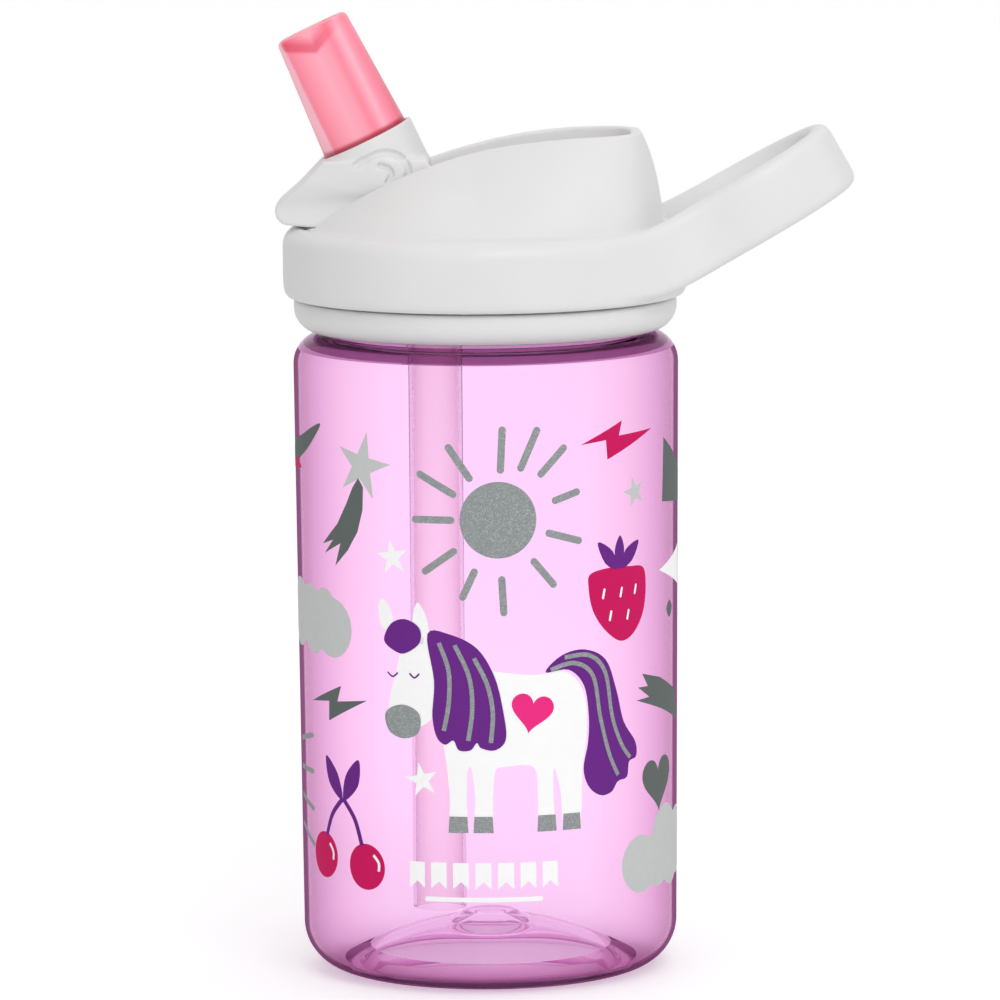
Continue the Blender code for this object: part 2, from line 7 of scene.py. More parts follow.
import json
import math

import bmesh
import bpy
from mathutils import Matrix, Vector
from mathutils.geometry import tessellate_polygon


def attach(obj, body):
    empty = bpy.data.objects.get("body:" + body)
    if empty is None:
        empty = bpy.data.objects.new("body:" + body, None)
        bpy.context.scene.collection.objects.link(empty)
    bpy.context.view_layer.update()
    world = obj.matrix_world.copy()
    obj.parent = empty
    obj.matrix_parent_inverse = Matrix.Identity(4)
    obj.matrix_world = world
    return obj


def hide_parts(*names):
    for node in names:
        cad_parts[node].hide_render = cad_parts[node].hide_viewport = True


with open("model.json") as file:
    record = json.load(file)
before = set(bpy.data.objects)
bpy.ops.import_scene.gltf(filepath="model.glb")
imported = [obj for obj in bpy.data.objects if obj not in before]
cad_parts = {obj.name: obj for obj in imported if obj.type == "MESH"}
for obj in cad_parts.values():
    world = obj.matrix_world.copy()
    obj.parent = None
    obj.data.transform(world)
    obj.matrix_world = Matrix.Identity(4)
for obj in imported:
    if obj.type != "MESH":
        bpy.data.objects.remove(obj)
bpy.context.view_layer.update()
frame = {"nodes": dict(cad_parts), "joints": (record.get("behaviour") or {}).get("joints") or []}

MM = 0.001
JOINTS = {joint["name"]: joint for joint in frame["joints"]}
AXIS_X = JOINTS["cap_turn"]["pos_m"][0] / MM
PIVOT_X = JOINTS["spout_flip"]["pos_m"][0] / MM - AXIS_X
PIVOT_Z = JOINTS["spout_flip"]["pos_m"][2] / MM

# Bottle
BODY_R = 36.5
BODY_R_LOW = 35.6
WALL = 1.3
CORNER_R = 9.0
FOOT_SHADE_TOP = 5.8
STAND_R = 24.2
SHOULDER_R = 5.8
SHOULDER_Z = 121.8
SHOULDER_BAND = 2.8
NECK_R = 31.2
NECK_BORE_R = 29.0
NECK_TOP = 135.6
PUNT_Z = 8.2
PUNT_TOP_R = 4.4
PUNT_FOOT_R = 7.6
FLOOR_WALL = 2.3
PITCH = 4.0
THREAD_START = 127.0
THREAD_DEPTH = 1.2

# Cap
RING_R = 36.3
RING_BOTTOM = SHOULDER_Z + 0.4
PARTING_Z = 128.5
COLLAR_R = 34.2
SKIRT_R = 32.9
DECK_TOP = 139.5
CEILING_Z = DECK_TOP + 0.3
BAND_R = 38.3
BAND_BOTTOM = 128.8
BAND_TOP = 142.2
MOUND_FOOT_R = 34.1
CREST_LEFT = -36.4
CREST_RIGHT = 29.6
CREST_Z = 159.6
TROUGH_FLOOR = 141.0
TROUGH_LEFT = -31.0

# Carry loop
STRAP_THICK = 4.4
STRAP_HEIGHT = 12.8
LOOP_SLOPE = math.radians(29.3)
LOOP_BEND_X = 31.9
LOOP_HALF = 15.5
LOOP_TIP_X = 65.7
LOOP_LEAVE_ANGLE = math.radians(52)

# Spout
SPOUT_LEAN = math.radians(25.3)
SPOUT_FOOT_X = PIVOT_X - 8.3
SPOUT_FOOT_Z = PIVOT_Z + 10.55
LEVER_HALF = 9.3
COLLAR_OUT_R = 9.45
GROOVE_DEPTH = 0.8
VALVE_FOOT_R = 8.4
VALVE_SUNK_R = 7.8
VALVE_LENGTH = 23.4
TIP_ROUND = 1.0


# ---------------------------------------------------------------- mesh helpers


def piece(name, bm_or_mesh, body, look, hides=()):
    """Turns millimetre geometry into a named piece that rides on a CAD body."""
    mesh = bm_or_mesh
    if isinstance(bm_or_mesh, bmesh.types.BMesh):
        mesh = bpy.data.meshes.new(name)
        bm_or_mesh.to_mesh(mesh)
        bm_or_mesh.free()
    mesh.transform(Matrix.Scale(MM, 4) @ Matrix.Translation((AXIS_X, 0, 0)))
    mesh.shade_smooth()
    made = bpy.data.objects.new(name, mesh)
    bpy.context.scene.collection.objects.link(made)
    mesh.materials.append(look)
    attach(made, body)
    if hides:
        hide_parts(*hides)
    return made


def arc(centre_r, centre_z, radius, start_deg, end_deg, steps=12):
    angles = [math.radians(start_deg + (end_deg - start_deg) * i / steps) for i in range(steps + 1)]
    return [(centre_r + radius * math.cos(a), centre_z + radius * math.sin(a)) for a in angles]


def turned(profile, segments=160, x=0.0, thread=None):
    """A closed (radius, height) outline turned round a vertical axis; thread(angle, z) adds to the radius."""
    bm = bmesh.new()
    rings = []
    for r, z in profile:
        if r < 1e-6:
            rings.append([bm.verts.new((x, 0, z))] * segments)
            continue
        row = []
        for i in range(segments):
            angle = math.tau * i / segments
            radius = r + (thread(angle, r, z) if thread else 0.0)
            row.append(bm.verts.new((x + radius * math.cos(angle), radius * math.sin(angle), z)))
        rings.append(row)
    for one, two in zip(rings, rings[1:] + rings[:1]):
        for i in range(segments):
            j = (i + 1) % segments
            corners = []
            for vert in (one[i], one[j], two[j], two[i]):
                if vert not in corners:
                    corners.append(vert)
            if len(corners) > 2:
                bm.faces.new(corners)
    bmesh.ops.recalc_face_normals(bm, faces=bm.faces)
    return bm


def loft(sections):
    """Closed loops of equal length joined one to the next, with both ends closed."""
    bm = bmesh.new()
    loops = [[bm.verts.new(point) for point in section] for section in sections]
    for lower, upper in zip(loops, loops[1:]):
        for i in range(len(lower)):
            j = (i + 1) % len(lower)
            bm.faces.new((lower[i], lower[j], upper[j], upper[i]))
    bm.faces.new(loops[0])
    bm.faces.new(loops[-1])
    bmesh.ops.recalc_face_normals(bm, faces=bm.faces)
    return bm


def rod(start, end, radius, end_radius=None, segments=64):
    start, end = Vector(start), Vector(end)
    span = end - start
    turn = span.to_track_quat("Z", "Y").to_matrix().to_4x4()
    bm = bmesh.new()
    bmesh.ops.create_cone(
        bm,
        cap_ends=True,
        segments=segments,
        radius1=radius,
        radius2=radius if end_radius is None else end_radius,
        depth=span.length,
        matrix=Matrix.Translation((start + end) / 2) @ turn,
    )
    return bm


def block(low, high):
    bm = bmesh.new()
    bmesh.ops.create_cube(bm, size=1.0)
    bmesh.ops.scale(bm, vec=[high[i] - low[i] for i in range(3)], verts=bm.verts)
    bmesh.ops.translate(bm, vec=[(high[i] + low[i]) / 2 for i in range(3)], verts=bm.verts)
    return bm


def prism(outline, start, end, axis="Z"):
    """A flat outline drawn out along Z, or along Y with the outline's second value as height."""
    bm = bmesh.new()
    if axis == "Z":
        face = bm.faces.new([bm.verts.new((a, b, start)) for a, b in outline])
        step = (0, 0, end - start)
    else:
        face = bm.faces.new([bm.verts.new((a, start, b)) for a, b in outline])
        step = (0, end - start, 0)
    drawn = bmesh.ops.extrude_face_region(bm, geom=[face])
    moved = [v for v in drawn["geom"] if isinstance(v, bmesh.types.BMVert)]
    bmesh.ops.translate(bm, vec=step, verts=moved)
    bmesh.ops.recalc_face_normals(bm, faces=bm.faces)
    return bm


def moulded(base, steps, voxel=0.0, smoothing=0):
    """Adds and cuts shapes one after another, then melts the result into one softly rounded skin.

    A step ("MELT", count) rounds what is there so far before the next shapes are cut. Without a
    voxel size nothing is melted.
    """
    helpers = []

    def temporary(bm):
        mesh = bpy.data.meshes.new("helper")
        bm.to_mesh(mesh)
        bm.free()
        made = bpy.data.objects.new("helper", mesh)
        bpy.context.scene.collection.objects.link(made)
        helpers.append(made)
        return made

    body = temporary(base)
    melting = [("MELT", smoothing)] if voxel else []
    for operation, added in steps + melting:
        if operation == "MELT":
            melt = body.modifiers.new("melt", "REMESH")
            melt.mode = "VOXEL"
            melt.voxel_size = voxel
            soften = body.modifiers.new("soften", "SMOOTH")
            soften.factor = 0.5
            soften.iterations = added
            continue
        cut = body.modifiers.new("step", "BOOLEAN")
        cut.operation = operation
        cut.solver = "EXACT"
        cut.object = temporary(added)
    view = bpy.context.evaluated_depsgraph_get()
    mesh = bpy.data.meshes.new_from_object(body.evaluated_get(view))
    for helper in helpers:
        bpy.data.objects.remove(helper)
    return mesh


# ---------------------------------------------------------------- materials


def new_material(name):
    made = bpy.data.materials.new(name)
    made.use_nodes = True
    nodes = made.node_tree.nodes
    return made, nodes, made.node_tree.links, nodes["Principled BSDF"]


def noise(nodes, scale, detail=3.0, roughness=0.5):
    texture = nodes.new("ShaderNodeTexNoise")
    texture.inputs["Scale"].default_value = scale
    texture.inputs["Detail"].default_value = detail
    texture.inputs["Roughness"].default_value = roughness
    place = nodes.new("ShaderNodeTexCoord")
    nodes.id_data.links.new(place.outputs["Object"], texture.inputs["Vector"])
    return texture


def ramp(nodes, links, source, stops):
    """A colour ramp from (position, colour) stops."""
    made = nodes.new("ShaderNodeValToRGB")
    elements = made.color_ramp.elements
    while len(elements) < len(stops):
        elements.new(0.5)
    for element, (position, colour) in zip(elements, stops):
        element.position = position
        element.color = (*colour, 1.0)
    links.new(source, made.inputs["Fac"])
    return made


def add_bump(nodes, links, shader, height, strength, distance):
    bump = nodes.new("ShaderNodeBump")
    bump.inputs["Strength"].default_value = strength
    bump.inputs["Distance"].default_value = distance
    links.new(height, bump.inputs["Height"])
    links.new(bump.outputs["Normal"], shader.inputs["Normal"])


def plastic(name, light, dark, roughness, grain=900.0, clear=0.0):
    """Moulded opaque plastic: faint mottling in colour and gloss, and a very fine texture."""
    made, nodes, links, shader = new_material(name)
    mottle = noise(nodes, 60.0)
    colour = ramp(nodes, links, mottle.outputs["Fac"], [(0.35, dark), (0.65, light)])
    links.new(colour.outputs["Color"], shader.inputs["Base Color"])
    gloss = nodes.new("ShaderNodeMapRange")
    gloss.inputs["To Min"].default_value = roughness - 0.03
    gloss.inputs["To Max"].default_value = roughness + 0.03
    links.new(mottle.outputs["Fac"], gloss.inputs["Value"])
    links.new(gloss.outputs["Result"], shader.inputs["Roughness"])
    shader.inputs["Coat Weight"].default_value = clear
    fine = noise(nodes, grain, 2.0)
    add_bump(nodes, links, shader, fine.outputs["Fac"], 0.08, 0.0001)
    return made


def foot_shade(nodes, links):
    """Painted shade where the wall curves under to the ground: darker towards the ground, by height."""
    place = nodes.new("ShaderNodeTexCoord")
    split = nodes.new("ShaderNodeSeparateXYZ")
    links.new(place.outputs["Object"], split.inputs["Vector"])
    share = nodes.new("ShaderNodeMapRange")
    share.inputs["From Max"].default_value = FOOT_SHADE_TOP * MM
    links.new(split.outputs["Z"], share.inputs["Value"])
    stops = [
        (0.0, (0.02, 0.010, 0.02)),
        (0.36, (0.03, 0.006, 0.025)),
        (0.47, (0.30, 0.14, 0.26)),
        (0.62, (0.77, 0.50, 0.66)),
        (1.0, (1.0, 1.0, 1.0)),
    ]
    return ramp(nodes, links, share.outputs["Result"], stops)


def clear_pink(name, bend, stops, rim=None, foot=False):
    """Clear tinted plastic whose colour darkens as it is seen more and more edge-on, partly deeper tint and partly
    painted edge shade.

    rim is (colour, start, end): between those two facing values the plastic turns to a painted dark edge, a
    see-through dark line that stands for shade along the outline.
    foot multiplies in painted shade on the curve next to the ground, on the side towards the camera only.
    """
    made, nodes, links, shader = new_material(name)
    facing = nodes.new("ShaderNodeLayerWeight")
    facing.inputs["Blend"].default_value = 0.5
    wash = ramp(nodes, links, facing.outputs["Facing"], stops)
    tint = wash.outputs["Color"]
    # Painted shade at the foot, multiplied into the colour for camera rays only.
    if foot:
        shade = foot_shade(nodes, links)
        deeper = nodes.new("ShaderNodeMix")
        deeper.data_type = "RGBA"
        deeper.blend_type = "MULTIPLY"
        rays = nodes.new("ShaderNodeLightPath")
        links.new(rays.outputs["Is Camera Ray"], deeper.inputs["Factor"])
        links.new(tint, deeper.inputs["A"])
        links.new(shade.outputs["Color"], deeper.inputs["B"])
        tint = deeper.outputs["Result"]
    links.new(tint, shader.inputs["Base Color"])
    shader.inputs["Transmission Weight"].default_value = 1.0
    shader.inputs["IOR"].default_value = bend
    fine = noise(nodes, 25.0)
    gloss = nodes.new("ShaderNodeMapRange")
    gloss.inputs["To Min"].default_value = 0.02
    gloss.inputs["To Max"].default_value = 0.05
    links.new(fine.outputs["Fac"], gloss.inputs["Value"])
    links.new(gloss.outputs["Result"], shader.inputs["Roughness"])
    # Painted shade: a dark see-through edge mixed in where the wall is seen nearly edge-on.
    if rim:
        colour, start, end = rim
        edge = nodes.new("ShaderNodeBsdfTransparent")
        edge.inputs["Color"].default_value = (*colour, 1.0)
        share = ramp(nodes, links, facing.outputs["Facing"], [(start, (0, 0, 0)), (end, (1, 1, 1))])
        blend = nodes.new("ShaderNodeMixShader")
        links.new(share.outputs["Color"], blend.inputs["Fac"])
        links.new(shader.outputs["BSDF"], blend.inputs[1])
        links.new(edge.outputs["BSDF"], blend.inputs[2])
        links.new(blend.outputs["Shader"], nodes["Material Output"].inputs["Surface"])
    return made


def outer_wall():
    # The darkening towards edge-on views is partly the deeper tint of a longer path through the wall and partly
    # painted edge shade.
    stops = [
        (0.0, (1.0, 0.745, 0.975)),
        (0.15, (1.0, 0.74, 0.97)),
        (0.32, (0.95, 0.64, 0.86)),
        (0.5, (0.79, 0.475, 0.72)),
        (0.65, (0.63, 0.36, 0.545)),
        (0.75, (0.585, 0.305, 0.505)),
    ]
    # Outer wall: painted dark edge (rim) and painted shade at the foot.
    made = clear_pink("clear_pink", 1.01, stops, ((0.50, 0.29, 0.45), 0.765, 0.795), foot=True)
    made.node_tree.nodes["Principled BSDF"].inputs["Coat Weight"].default_value = 0.08
    return made


def inner_wall():
    return clear_pink("clear_pink_inside", 1.01, [(0.0, (1.0, 0.86, 0.99)), (0.8, (0.99, 0.83, 0.97))])


def shoulder():
    # Painted shade: the shoulder band is coloured dark purple to stand for the dark band the curved shoulder shows.
    return clear_pink("clear_pink_shoulder_painted_shade", 1.10, [(0.0, (0.30, 0.10, 0.25)), (1.0, (0.22, 0.07, 0.18))])


def bottle_floor():
    stops = [(0.0, (1.0, 0.90, 0.99)), (0.5, (0.96, 0.84, 0.94)), (1.0, (0.90, 0.72, 0.86))]
    return clear_pink("clear_pink_floor", 1.08, stops)


def pink_silicone():
    """Translucent pink silicone with painted light and shade: lengthwise stripes of painted highlight and shade,
    painted shade at the edges, a painted shadow at the foot inside the collar, painted shade at the fold, and a faint
    painted glow.
    """
    made, nodes, links, shader = new_material("pink_silicone")
    place = nodes.new("ShaderNodeTexCoord")
    lean = nodes.new("ShaderNodeMapping")
    lean.vector_type = "TEXTURE"
    lean.inputs["Location"].default_value = ((SPOUT_FOOT_X + AXIS_X) * MM, 0, SPOUT_FOOT_Z * MM)
    lean.inputs["Rotation"].default_value = (0, -SPOUT_LEAN, 0)
    lean.inputs["Scale"].default_value = (VALVE_FOOT_R * MM, VALVE_FOOT_R * MM, VALVE_LENGTH * MM)
    links.new(place.outputs["Object"], lean.inputs["Vector"])
    split = nodes.new("ShaderNodeSeparateXYZ")
    links.new(lean.outputs["Vector"], split.inputs["Vector"])
    ripple = noise(nodes, 90.0)
    wave = nodes.new("ShaderNodeMath")
    wave.operation = "MULTIPLY_ADD"
    wave.inputs[1].default_value = 0.06
    links.new(ripple.outputs["Fac"], wave.inputs[0])
    links.new(split.outputs["X"], wave.inputs[2])
    across = nodes.new("ShaderNodeMapRange")
    across.inputs["From Min"].default_value = -1.0
    across.inputs["From Max"].default_value = 1.0
    links.new(wave.outputs["Value"], across.inputs["Value"])
    # Painted highlights and shade: lighter and darker lengthwise stripes across the mouthpiece, as the studio light
    # falls on it from the front.
    painted_light_bands = [
        (0.02, (0.90, 0.22, 0.32)),
        (0.06, (1.0, 0.46, 0.56)),
        (0.14, (1.0, 0.50, 0.60)),
        (0.17, (1.0, 0.24, 0.34)),
        (0.24, (1.0, 0.29, 0.39)),
        (0.46, (1.0, 0.40, 0.50)),
        (0.60, (1.0, 0.33, 0.43)),
        (0.68, (1.0, 0.24, 0.33)),
        (0.72, (1.0, 0.28, 0.38)),
        (0.80, (1.0, 0.45, 0.55)),
        (0.86, (1.0, 0.30, 0.40)),
        (0.94, (0.98, 0.24, 0.34)),
        (0.98, (0.80, 0.15, 0.24)),
    ]
    colour = ramp(nodes, links, across.outputs["Result"], painted_light_bands)
    facing = nodes.new("ShaderNodeLayerWeight")
    facing.inputs["Blend"].default_value = 0.5
    # Painted shade: darker towards the outline, as the surface turns edge-on.
    edge = ramp(nodes, links, facing.outputs["Facing"], [(0.70, (1, 1, 1)), (0.92, (0.85, 0.42, 0.50))])
    # Painted shadow: dark red at the foot, where the mouthpiece sinks into the collar.
    foot = ramp(nodes, links, split.outputs["Z"], [(0.02, (0.46, 0.14, 0.20)), (0.055, (1, 1, 1))])
    # Painted shade of the fold near the tip: a chevron-shaped darker patch across the middle of the mouthpiece.
    offset = nodes.new("ShaderNodeMath")
    offset.operation = "ADD"
    offset.inputs[1].default_value = 0.10
    links.new(split.outputs["X"], offset.inputs[0])
    beside = nodes.new("ShaderNodeMath")
    beside.operation = "ABSOLUTE"
    links.new(offset.outputs["Value"], beside.inputs[0])
    chevron = nodes.new("ShaderNodeMath")
    chevron.operation = "MULTIPLY_ADD"
    chevron.inputs[1].default_value = -0.17
    links.new(beside.outputs["Value"], chevron.inputs[0])
    links.new(split.outputs["Z"], chevron.inputs[2])
    heights = [(0.79, (0, 0, 0)), (0.82, (1, 1, 1)), (0.87, (1, 1, 1)), (0.95, (0.1, 0.1, 0.1))]
    fold_height = ramp(nodes, links, chevron.outputs["Value"], heights)
    widths = [(0.12, (0, 0, 0)), (0.15, (1, 1, 1)), (0.50, (1, 1, 1)), (0.85, (0.2, 0.2, 0.2))]
    fold_width = ramp(nodes, links, across.outputs["Result"], widths)
    inside = nodes.new("ShaderNodeMath")
    inside.operation = "MULTIPLY"
    links.new(fold_height.outputs["Color"], inside.inputs[0])
    links.new(fold_width.outputs["Color"], inside.inputs[1])
    fold = ramp(nodes, links, inside.outputs["Value"], [(0.0, (1, 1, 1)), (1.0, (0.80, 0.40, 0.48))])
    result = colour.outputs["Color"]
    for shade in (edge, foot, fold):
        mix = nodes.new("ShaderNodeMix")
        mix.data_type = "RGBA"
        mix.blend_type = "MULTIPLY"
        mix.inputs["Factor"].default_value = 1.0
        links.new(result, mix.inputs["A"])
        links.new(shade.outputs["Color"], mix.inputs["B"])
        result = mix.outputs["Result"]
    links.new(result, shader.inputs["Base Color"])
    # Painted light: the silicone glows a little, though it is no lamp.
    links.new(result, shader.inputs["Emission Color"])
    shader.inputs["Emission Strength"].default_value = 0.16
    shader.inputs["Roughness"].default_value = 0.28
    shader.inputs["Subsurface Weight"].default_value = 0.5
    shader.inputs["Subsurface Radius"].default_value = (1.0, 0.35, 0.4)
    shader.inputs["Subsurface Scale"].default_value = 0.002
    return made


def straw_plastic():
    """Thin clear plastic with a faint pink cast, a little deeper towards its edges."""
    made, nodes, links, shader = new_material("straw_plastic")
    facing = nodes.new("ShaderNodeLayerWeight")
    facing.inputs["Blend"].default_value = 0.5
    stops = [
        (0.0, (0.985, 0.955, 0.955)),
        (0.17, (0.955, 0.905, 0.91)),
        (0.33, (0.92, 0.85, 0.87)),
        (0.6, (0.86, 0.77, 0.83)),
        (1.0, (0.76, 0.63, 0.72)),
    ]
    wash = ramp(nodes, links, facing.outputs["Facing"], stops)
    links.new(wash.outputs["Color"], shader.inputs["Base Color"])
    cloud = noise(nodes, 120.0)
    gloss = nodes.new("ShaderNodeMapRange")
    gloss.inputs["To Min"].default_value = 0.05
    gloss.inputs["To Max"].default_value = 0.10
    links.new(cloud.outputs["Fac"], gloss.inputs["Value"])
    links.new(gloss.outputs["Result"], shader.inputs["Roughness"])
    shader.inputs["Transmission Weight"].default_value = 1.0
    shader.inputs["IOR"].default_value = 1.03
    shader.inputs["Coat Weight"].default_value = 0.15
    return made


def ink(name, colour, glitter=0.0):
    """Printed ink that glows a little as painted light; glitter scatters pale specks through it."""
    made, nodes, links, shader = new_material("ink_" + name)
    darker = tuple(c * 0.975 for c in colour)
    grain = noise(nodes, 700.0)
    base = ramp(nodes, links, grain.outputs["Fac"], [(0.35, darker), (0.65, colour)])
    result = base.outputs["Color"]
    if glitter:
        flakes = nodes.new("ShaderNodeTexVoronoi")
        flakes.inputs["Scale"].default_value = 5200.0
        place = nodes.new("ShaderNodeTexCoord")
        links.new(place.outputs["Object"], flakes.inputs["Vector"])
        split = nodes.new("ShaderNodeSeparateColor")
        links.new(flakes.outputs["Color"], split.inputs["Color"])
        pale = tuple(min(1.0, c + glitter) for c in colour)
        dim = tuple(c * 0.8 for c in colour)
        speck = ramp(nodes, links, split.outputs["Red"], [(0.0, dim), (0.8, colour), (1.0, pale)])
        result = speck.outputs["Color"]
    links.new(result, shader.inputs["Base Color"])
    # Painted light: the ink glows a little, though it is no lamp.
    links.new(result, shader.inputs["Emission Color"])
    shader.inputs["Emission Strength"].default_value = 0.09
    shader.inputs["Roughness"].default_value = 0.6
    shader.inputs["Specular IOR Level"].default_value = 0.08
    return made


# ---------------------------------------------------------------- bottle


def inside_dome(r):
    """Height of the underside between the middle boss and the standing ring."""
    return PUNT_Z - 1.9 - 4.9 * ((r - PUNT_FOOT_R) / 16) ** 1.6


def bottle_profile():
    dome = [(PUNT_FOOT_R + 15.4 * i / 14, inside_dome(PUNT_FOOT_R + 15.4 * i / 14)) for i in range(15)]
    outside = [(0, PUNT_Z), (PUNT_TOP_R - 0.8, PUNT_Z), (PUNT_TOP_R, PUNT_Z - 0.25)]
    outside += [(PUNT_TOP_R + 1.6, PUNT_Z - 1.1), *dome, (STAND_R, 0.15), (STAND_R + 0.8, 0)]
    outside += arc(BODY_R_LOW - CORNER_R, CORNER_R, CORNER_R, -90, 0, 24)
    outside += arc(BODY_R - SHOULDER_R, SHOULDER_Z - SHOULDER_R, SHOULDER_R, 0, 88, 14)
    outside += [(NECK_R + 0.8, SHOULDER_Z), (NECK_R, SHOULDER_Z + 0.5)]
    outside += [(NECK_R, SHOULDER_Z + 1 + 0.4 * i) for i in range(32)]
    outside += arc(NECK_R - 0.6, NECK_TOP - 0.6, 0.6, 0, 90, 4)
    inner_r = SHOULDER_R - 0.8
    inside = arc(NECK_BORE_R + 0.6, NECK_TOP - 0.6, 0.6, 90, 180, 4)
    inside += [(NECK_BORE_R, SHOULDER_Z - WALL + 0.8), (NECK_BORE_R + 0.7, SHOULDER_Z - WALL)]
    inside += arc(BODY_R - WALL - inner_r, SHOULDER_Z - WALL - inner_r, inner_r, 88, 0, 12)
    inside += arc(BODY_R_LOW - CORNER_R, CORNER_R, CORNER_R - WALL, 0, -80, 18)
    inside += [(r, z + FLOOR_WALL) for r, z in reversed(dome)]
    inside += [(PUNT_TOP_R + 1.9, PUNT_Z + FLOOR_WALL - 1.0), (PUNT_TOP_R + 0.6, PUNT_Z + FLOOR_WALL - 0.2)]
    inside += [(PUNT_TOP_R - 0.6, PUNT_Z + FLOOR_WALL), (0, PUNT_Z + FLOOR_WALL)]
    return outside + inside


def screw_thread(angle, r, z):
    """Extra radius of the helical ridge on the outside of the neck."""
    if abs(r - NECK_R) > 0.01 or z < SHOULDER_Z + 1:
        return 0.0
    best = 0.0
    for lap in (0, 1):
        turns = lap + angle / math.tau
        if turns > 1.25:
            continue
        fade = min(1.0, turns * 10, (1.25 - turns) * 10)
        off = abs(z - THREAD_START - PITCH * turns)
        best = max(best, fade * THREAD_DEPTH * min(1.0, max(0.0, (1.0 - off) / 0.5)))
    return best


def make_bottle():
    bm = turned(bottle_profile(), 192, thread=screw_thread)
    for face in bm.faces:
        spot = face.calc_center_median()
        across = math.hypot(spot.x, spot.y)
        inwards = face.normal.dot(Vector((spot.x, spot.y, 0))) < 0 or spot.z > NECK_TOP - 1
        if across < STAND_R + 1 or spot.z > THREAD_START - 2.5:
            face.material_index = 2
        # The band under the shoulder takes the painted shoulder shade.
        elif spot.z > SHOULDER_Z - SHOULDER_BAND:
            face.material_index = 3
        elif inwards:
            face.material_index = 1
    shell = piece("bottle_shell", bm, "bottle", outer_wall(), ["bottle_body"])
    for look in (inner_wall(), bottle_floor(), shoulder()):
        shell.data.materials.append(look)


def make_straw():
    x = -9.6
    profile = [(4.4, 11.1), (4.6, 11.0), (5.0, 11.1), (5.1, 11.4), (5.1, 133.2), (4.9, 133.4), (4.4, 133.4)]
    bm = turned(profile, 64, x)
    piece("drinking_straw", bm, "cap", straw_plastic(), ["straw"])


# ---------------------------------------------------------------- cap


def make_cap_ring(white):
    """Threaded inner cap, of which only the ring under the band shows when the cap is shut."""
    edge = 4.6
    skirt = [(0, DECK_TOP - 1.5), (27.2, DECK_TOP - 1.5), (27.2, NECK_TOP - 1.2), (28.4, NECK_TOP - 1.2)]
    skirt += [(28.4, DECK_TOP - 1.5), (SKIRT_R, DECK_TOP - 1.5), (SKIRT_R, RING_BOTTOM + 0.8)]
    skirt += [(SKIRT_R + 0.4, RING_BOTTOM + 0.35)]
    skirt += arc(RING_R - edge, RING_BOTTOM + edge, edge, -62, 0, 14)
    skirt += arc(RING_R - 0.8, PARTING_Z - 0.9, 0.8, 0, 90, 6)
    skirt += [(COLLAR_R, PARTING_Z), (COLLAR_R, DECK_TOP), (0, DECK_TOP)]
    bm = turned(skirt, 192)
    piece("cap_inner", bm, "cap", white, ["cap_base"])


def crest_half(x):
    """Half the distance between the two crests of the trough at a place along it."""
    middle = (CREST_LEFT + CREST_RIGHT) / 2
    reach = (CREST_RIGHT - CREST_LEFT) / 2
    along = min(1.0, abs(x - middle) / reach)
    widening = min(1.0, max(0.0, (x + 6) / 20))
    widening = widening * widening * (3 - 2 * widening)
    return (10.7 + 3.6 * widening) * (1 - along**4.5) ** (1 / 4.5)


def crest_height(x):
    run = max(0.0, CREST_RIGHT - 0.6 - x)
    return max(CREST_Z - 17.4 * (run / 62) ** 2.5, CEILING_Z + 0.6)


def mound(steps=64, rows=16):
    """The raised back: flanks that rise from a circle on the band to the two crests of the trough."""
    middle = (CREST_LEFT + CREST_RIGHT) / 2
    reach = (CREST_RIGHT - CREST_LEFT) / 2
    foot_z = CEILING_Z + 0.4
    angles = [math.pi * i / steps for i in range(steps + 1)]
    rings = []
    bm = bmesh.new()
    for row in range(rows + 1):
        t = row / rows
        ring = []
        for side in (1, -1):
            for a in angles[:-1] if side == 1 else reversed(angles[1:]):
                x_top = middle + reach * math.cos(a)
                top = Vector((x_top, side * crest_half(x_top), crest_height(x_top)))
                foot = Vector((MOUND_FOOT_R * math.cos(a), side * MOUND_FOOT_R * math.sin(a), foot_z))
                end_on = abs(math.cos(a))
                bulge = foot.lerp(top, 0.5)
                bulge += Vector((foot.x - top.x, foot.y - top.y, 0)) * (0.05 + 0.25 * end_on)
                bulge.z += (top.z - foot.z) * (0.10 + 0.09 * end_on)
                ring.append(bm.verts.new(foot * (1 - t) ** 2 + bulge * 2 * t * (1 - t) + top * t * t))
        rings.append(ring)
    count = len(rings[0])
    for lower, upper in zip(rings, rings[1:]):
        for i in range(count):
            j = (i + 1) % count
            bm.faces.new((lower[i], lower[j], upper[j], upper[i]))
    bm.faces.new(rings[0])
    top = rings[-1]
    for i in range(steps):
        corners = [top[i], top[i + 1], top[-(i + 1)]]
        if i:
            corners.append(top[-i])
        if i == steps - 1:
            corners = [top[i], top[i + 1], top[-i]]
        bm.faces.new(corners)
    bmesh.ops.recalc_face_normals(bm, faces=bm.faces)
    return bm


def trough_outline(wall=1.3, steps=24):
    """Plan of the trough the spout folds into, square at the spout end and round at the other."""
    end = CREST_RIGHT - 1.9
    xs = [TROUGH_LEFT + (18 - TROUGH_LEFT) * i / steps for i in range(steps + 1)]
    half = [max(crest_half(x) - wall, LEVER_HALF + 0.4) for x in xs]
    round_half = half[-1]
    for i in range(1, 12):
        a = math.pi / 2 * i / 12
        xs.append(18 + (end - 18) * math.sin(a))
        half.append(round_half * math.cos(a) ** 0.6)
    near = [(x, -h) for x, h in zip(xs, half)]
    far = [(x, h) for x, h in zip(xs, half)]
    return near + [(end, 0)] + list(reversed(far))


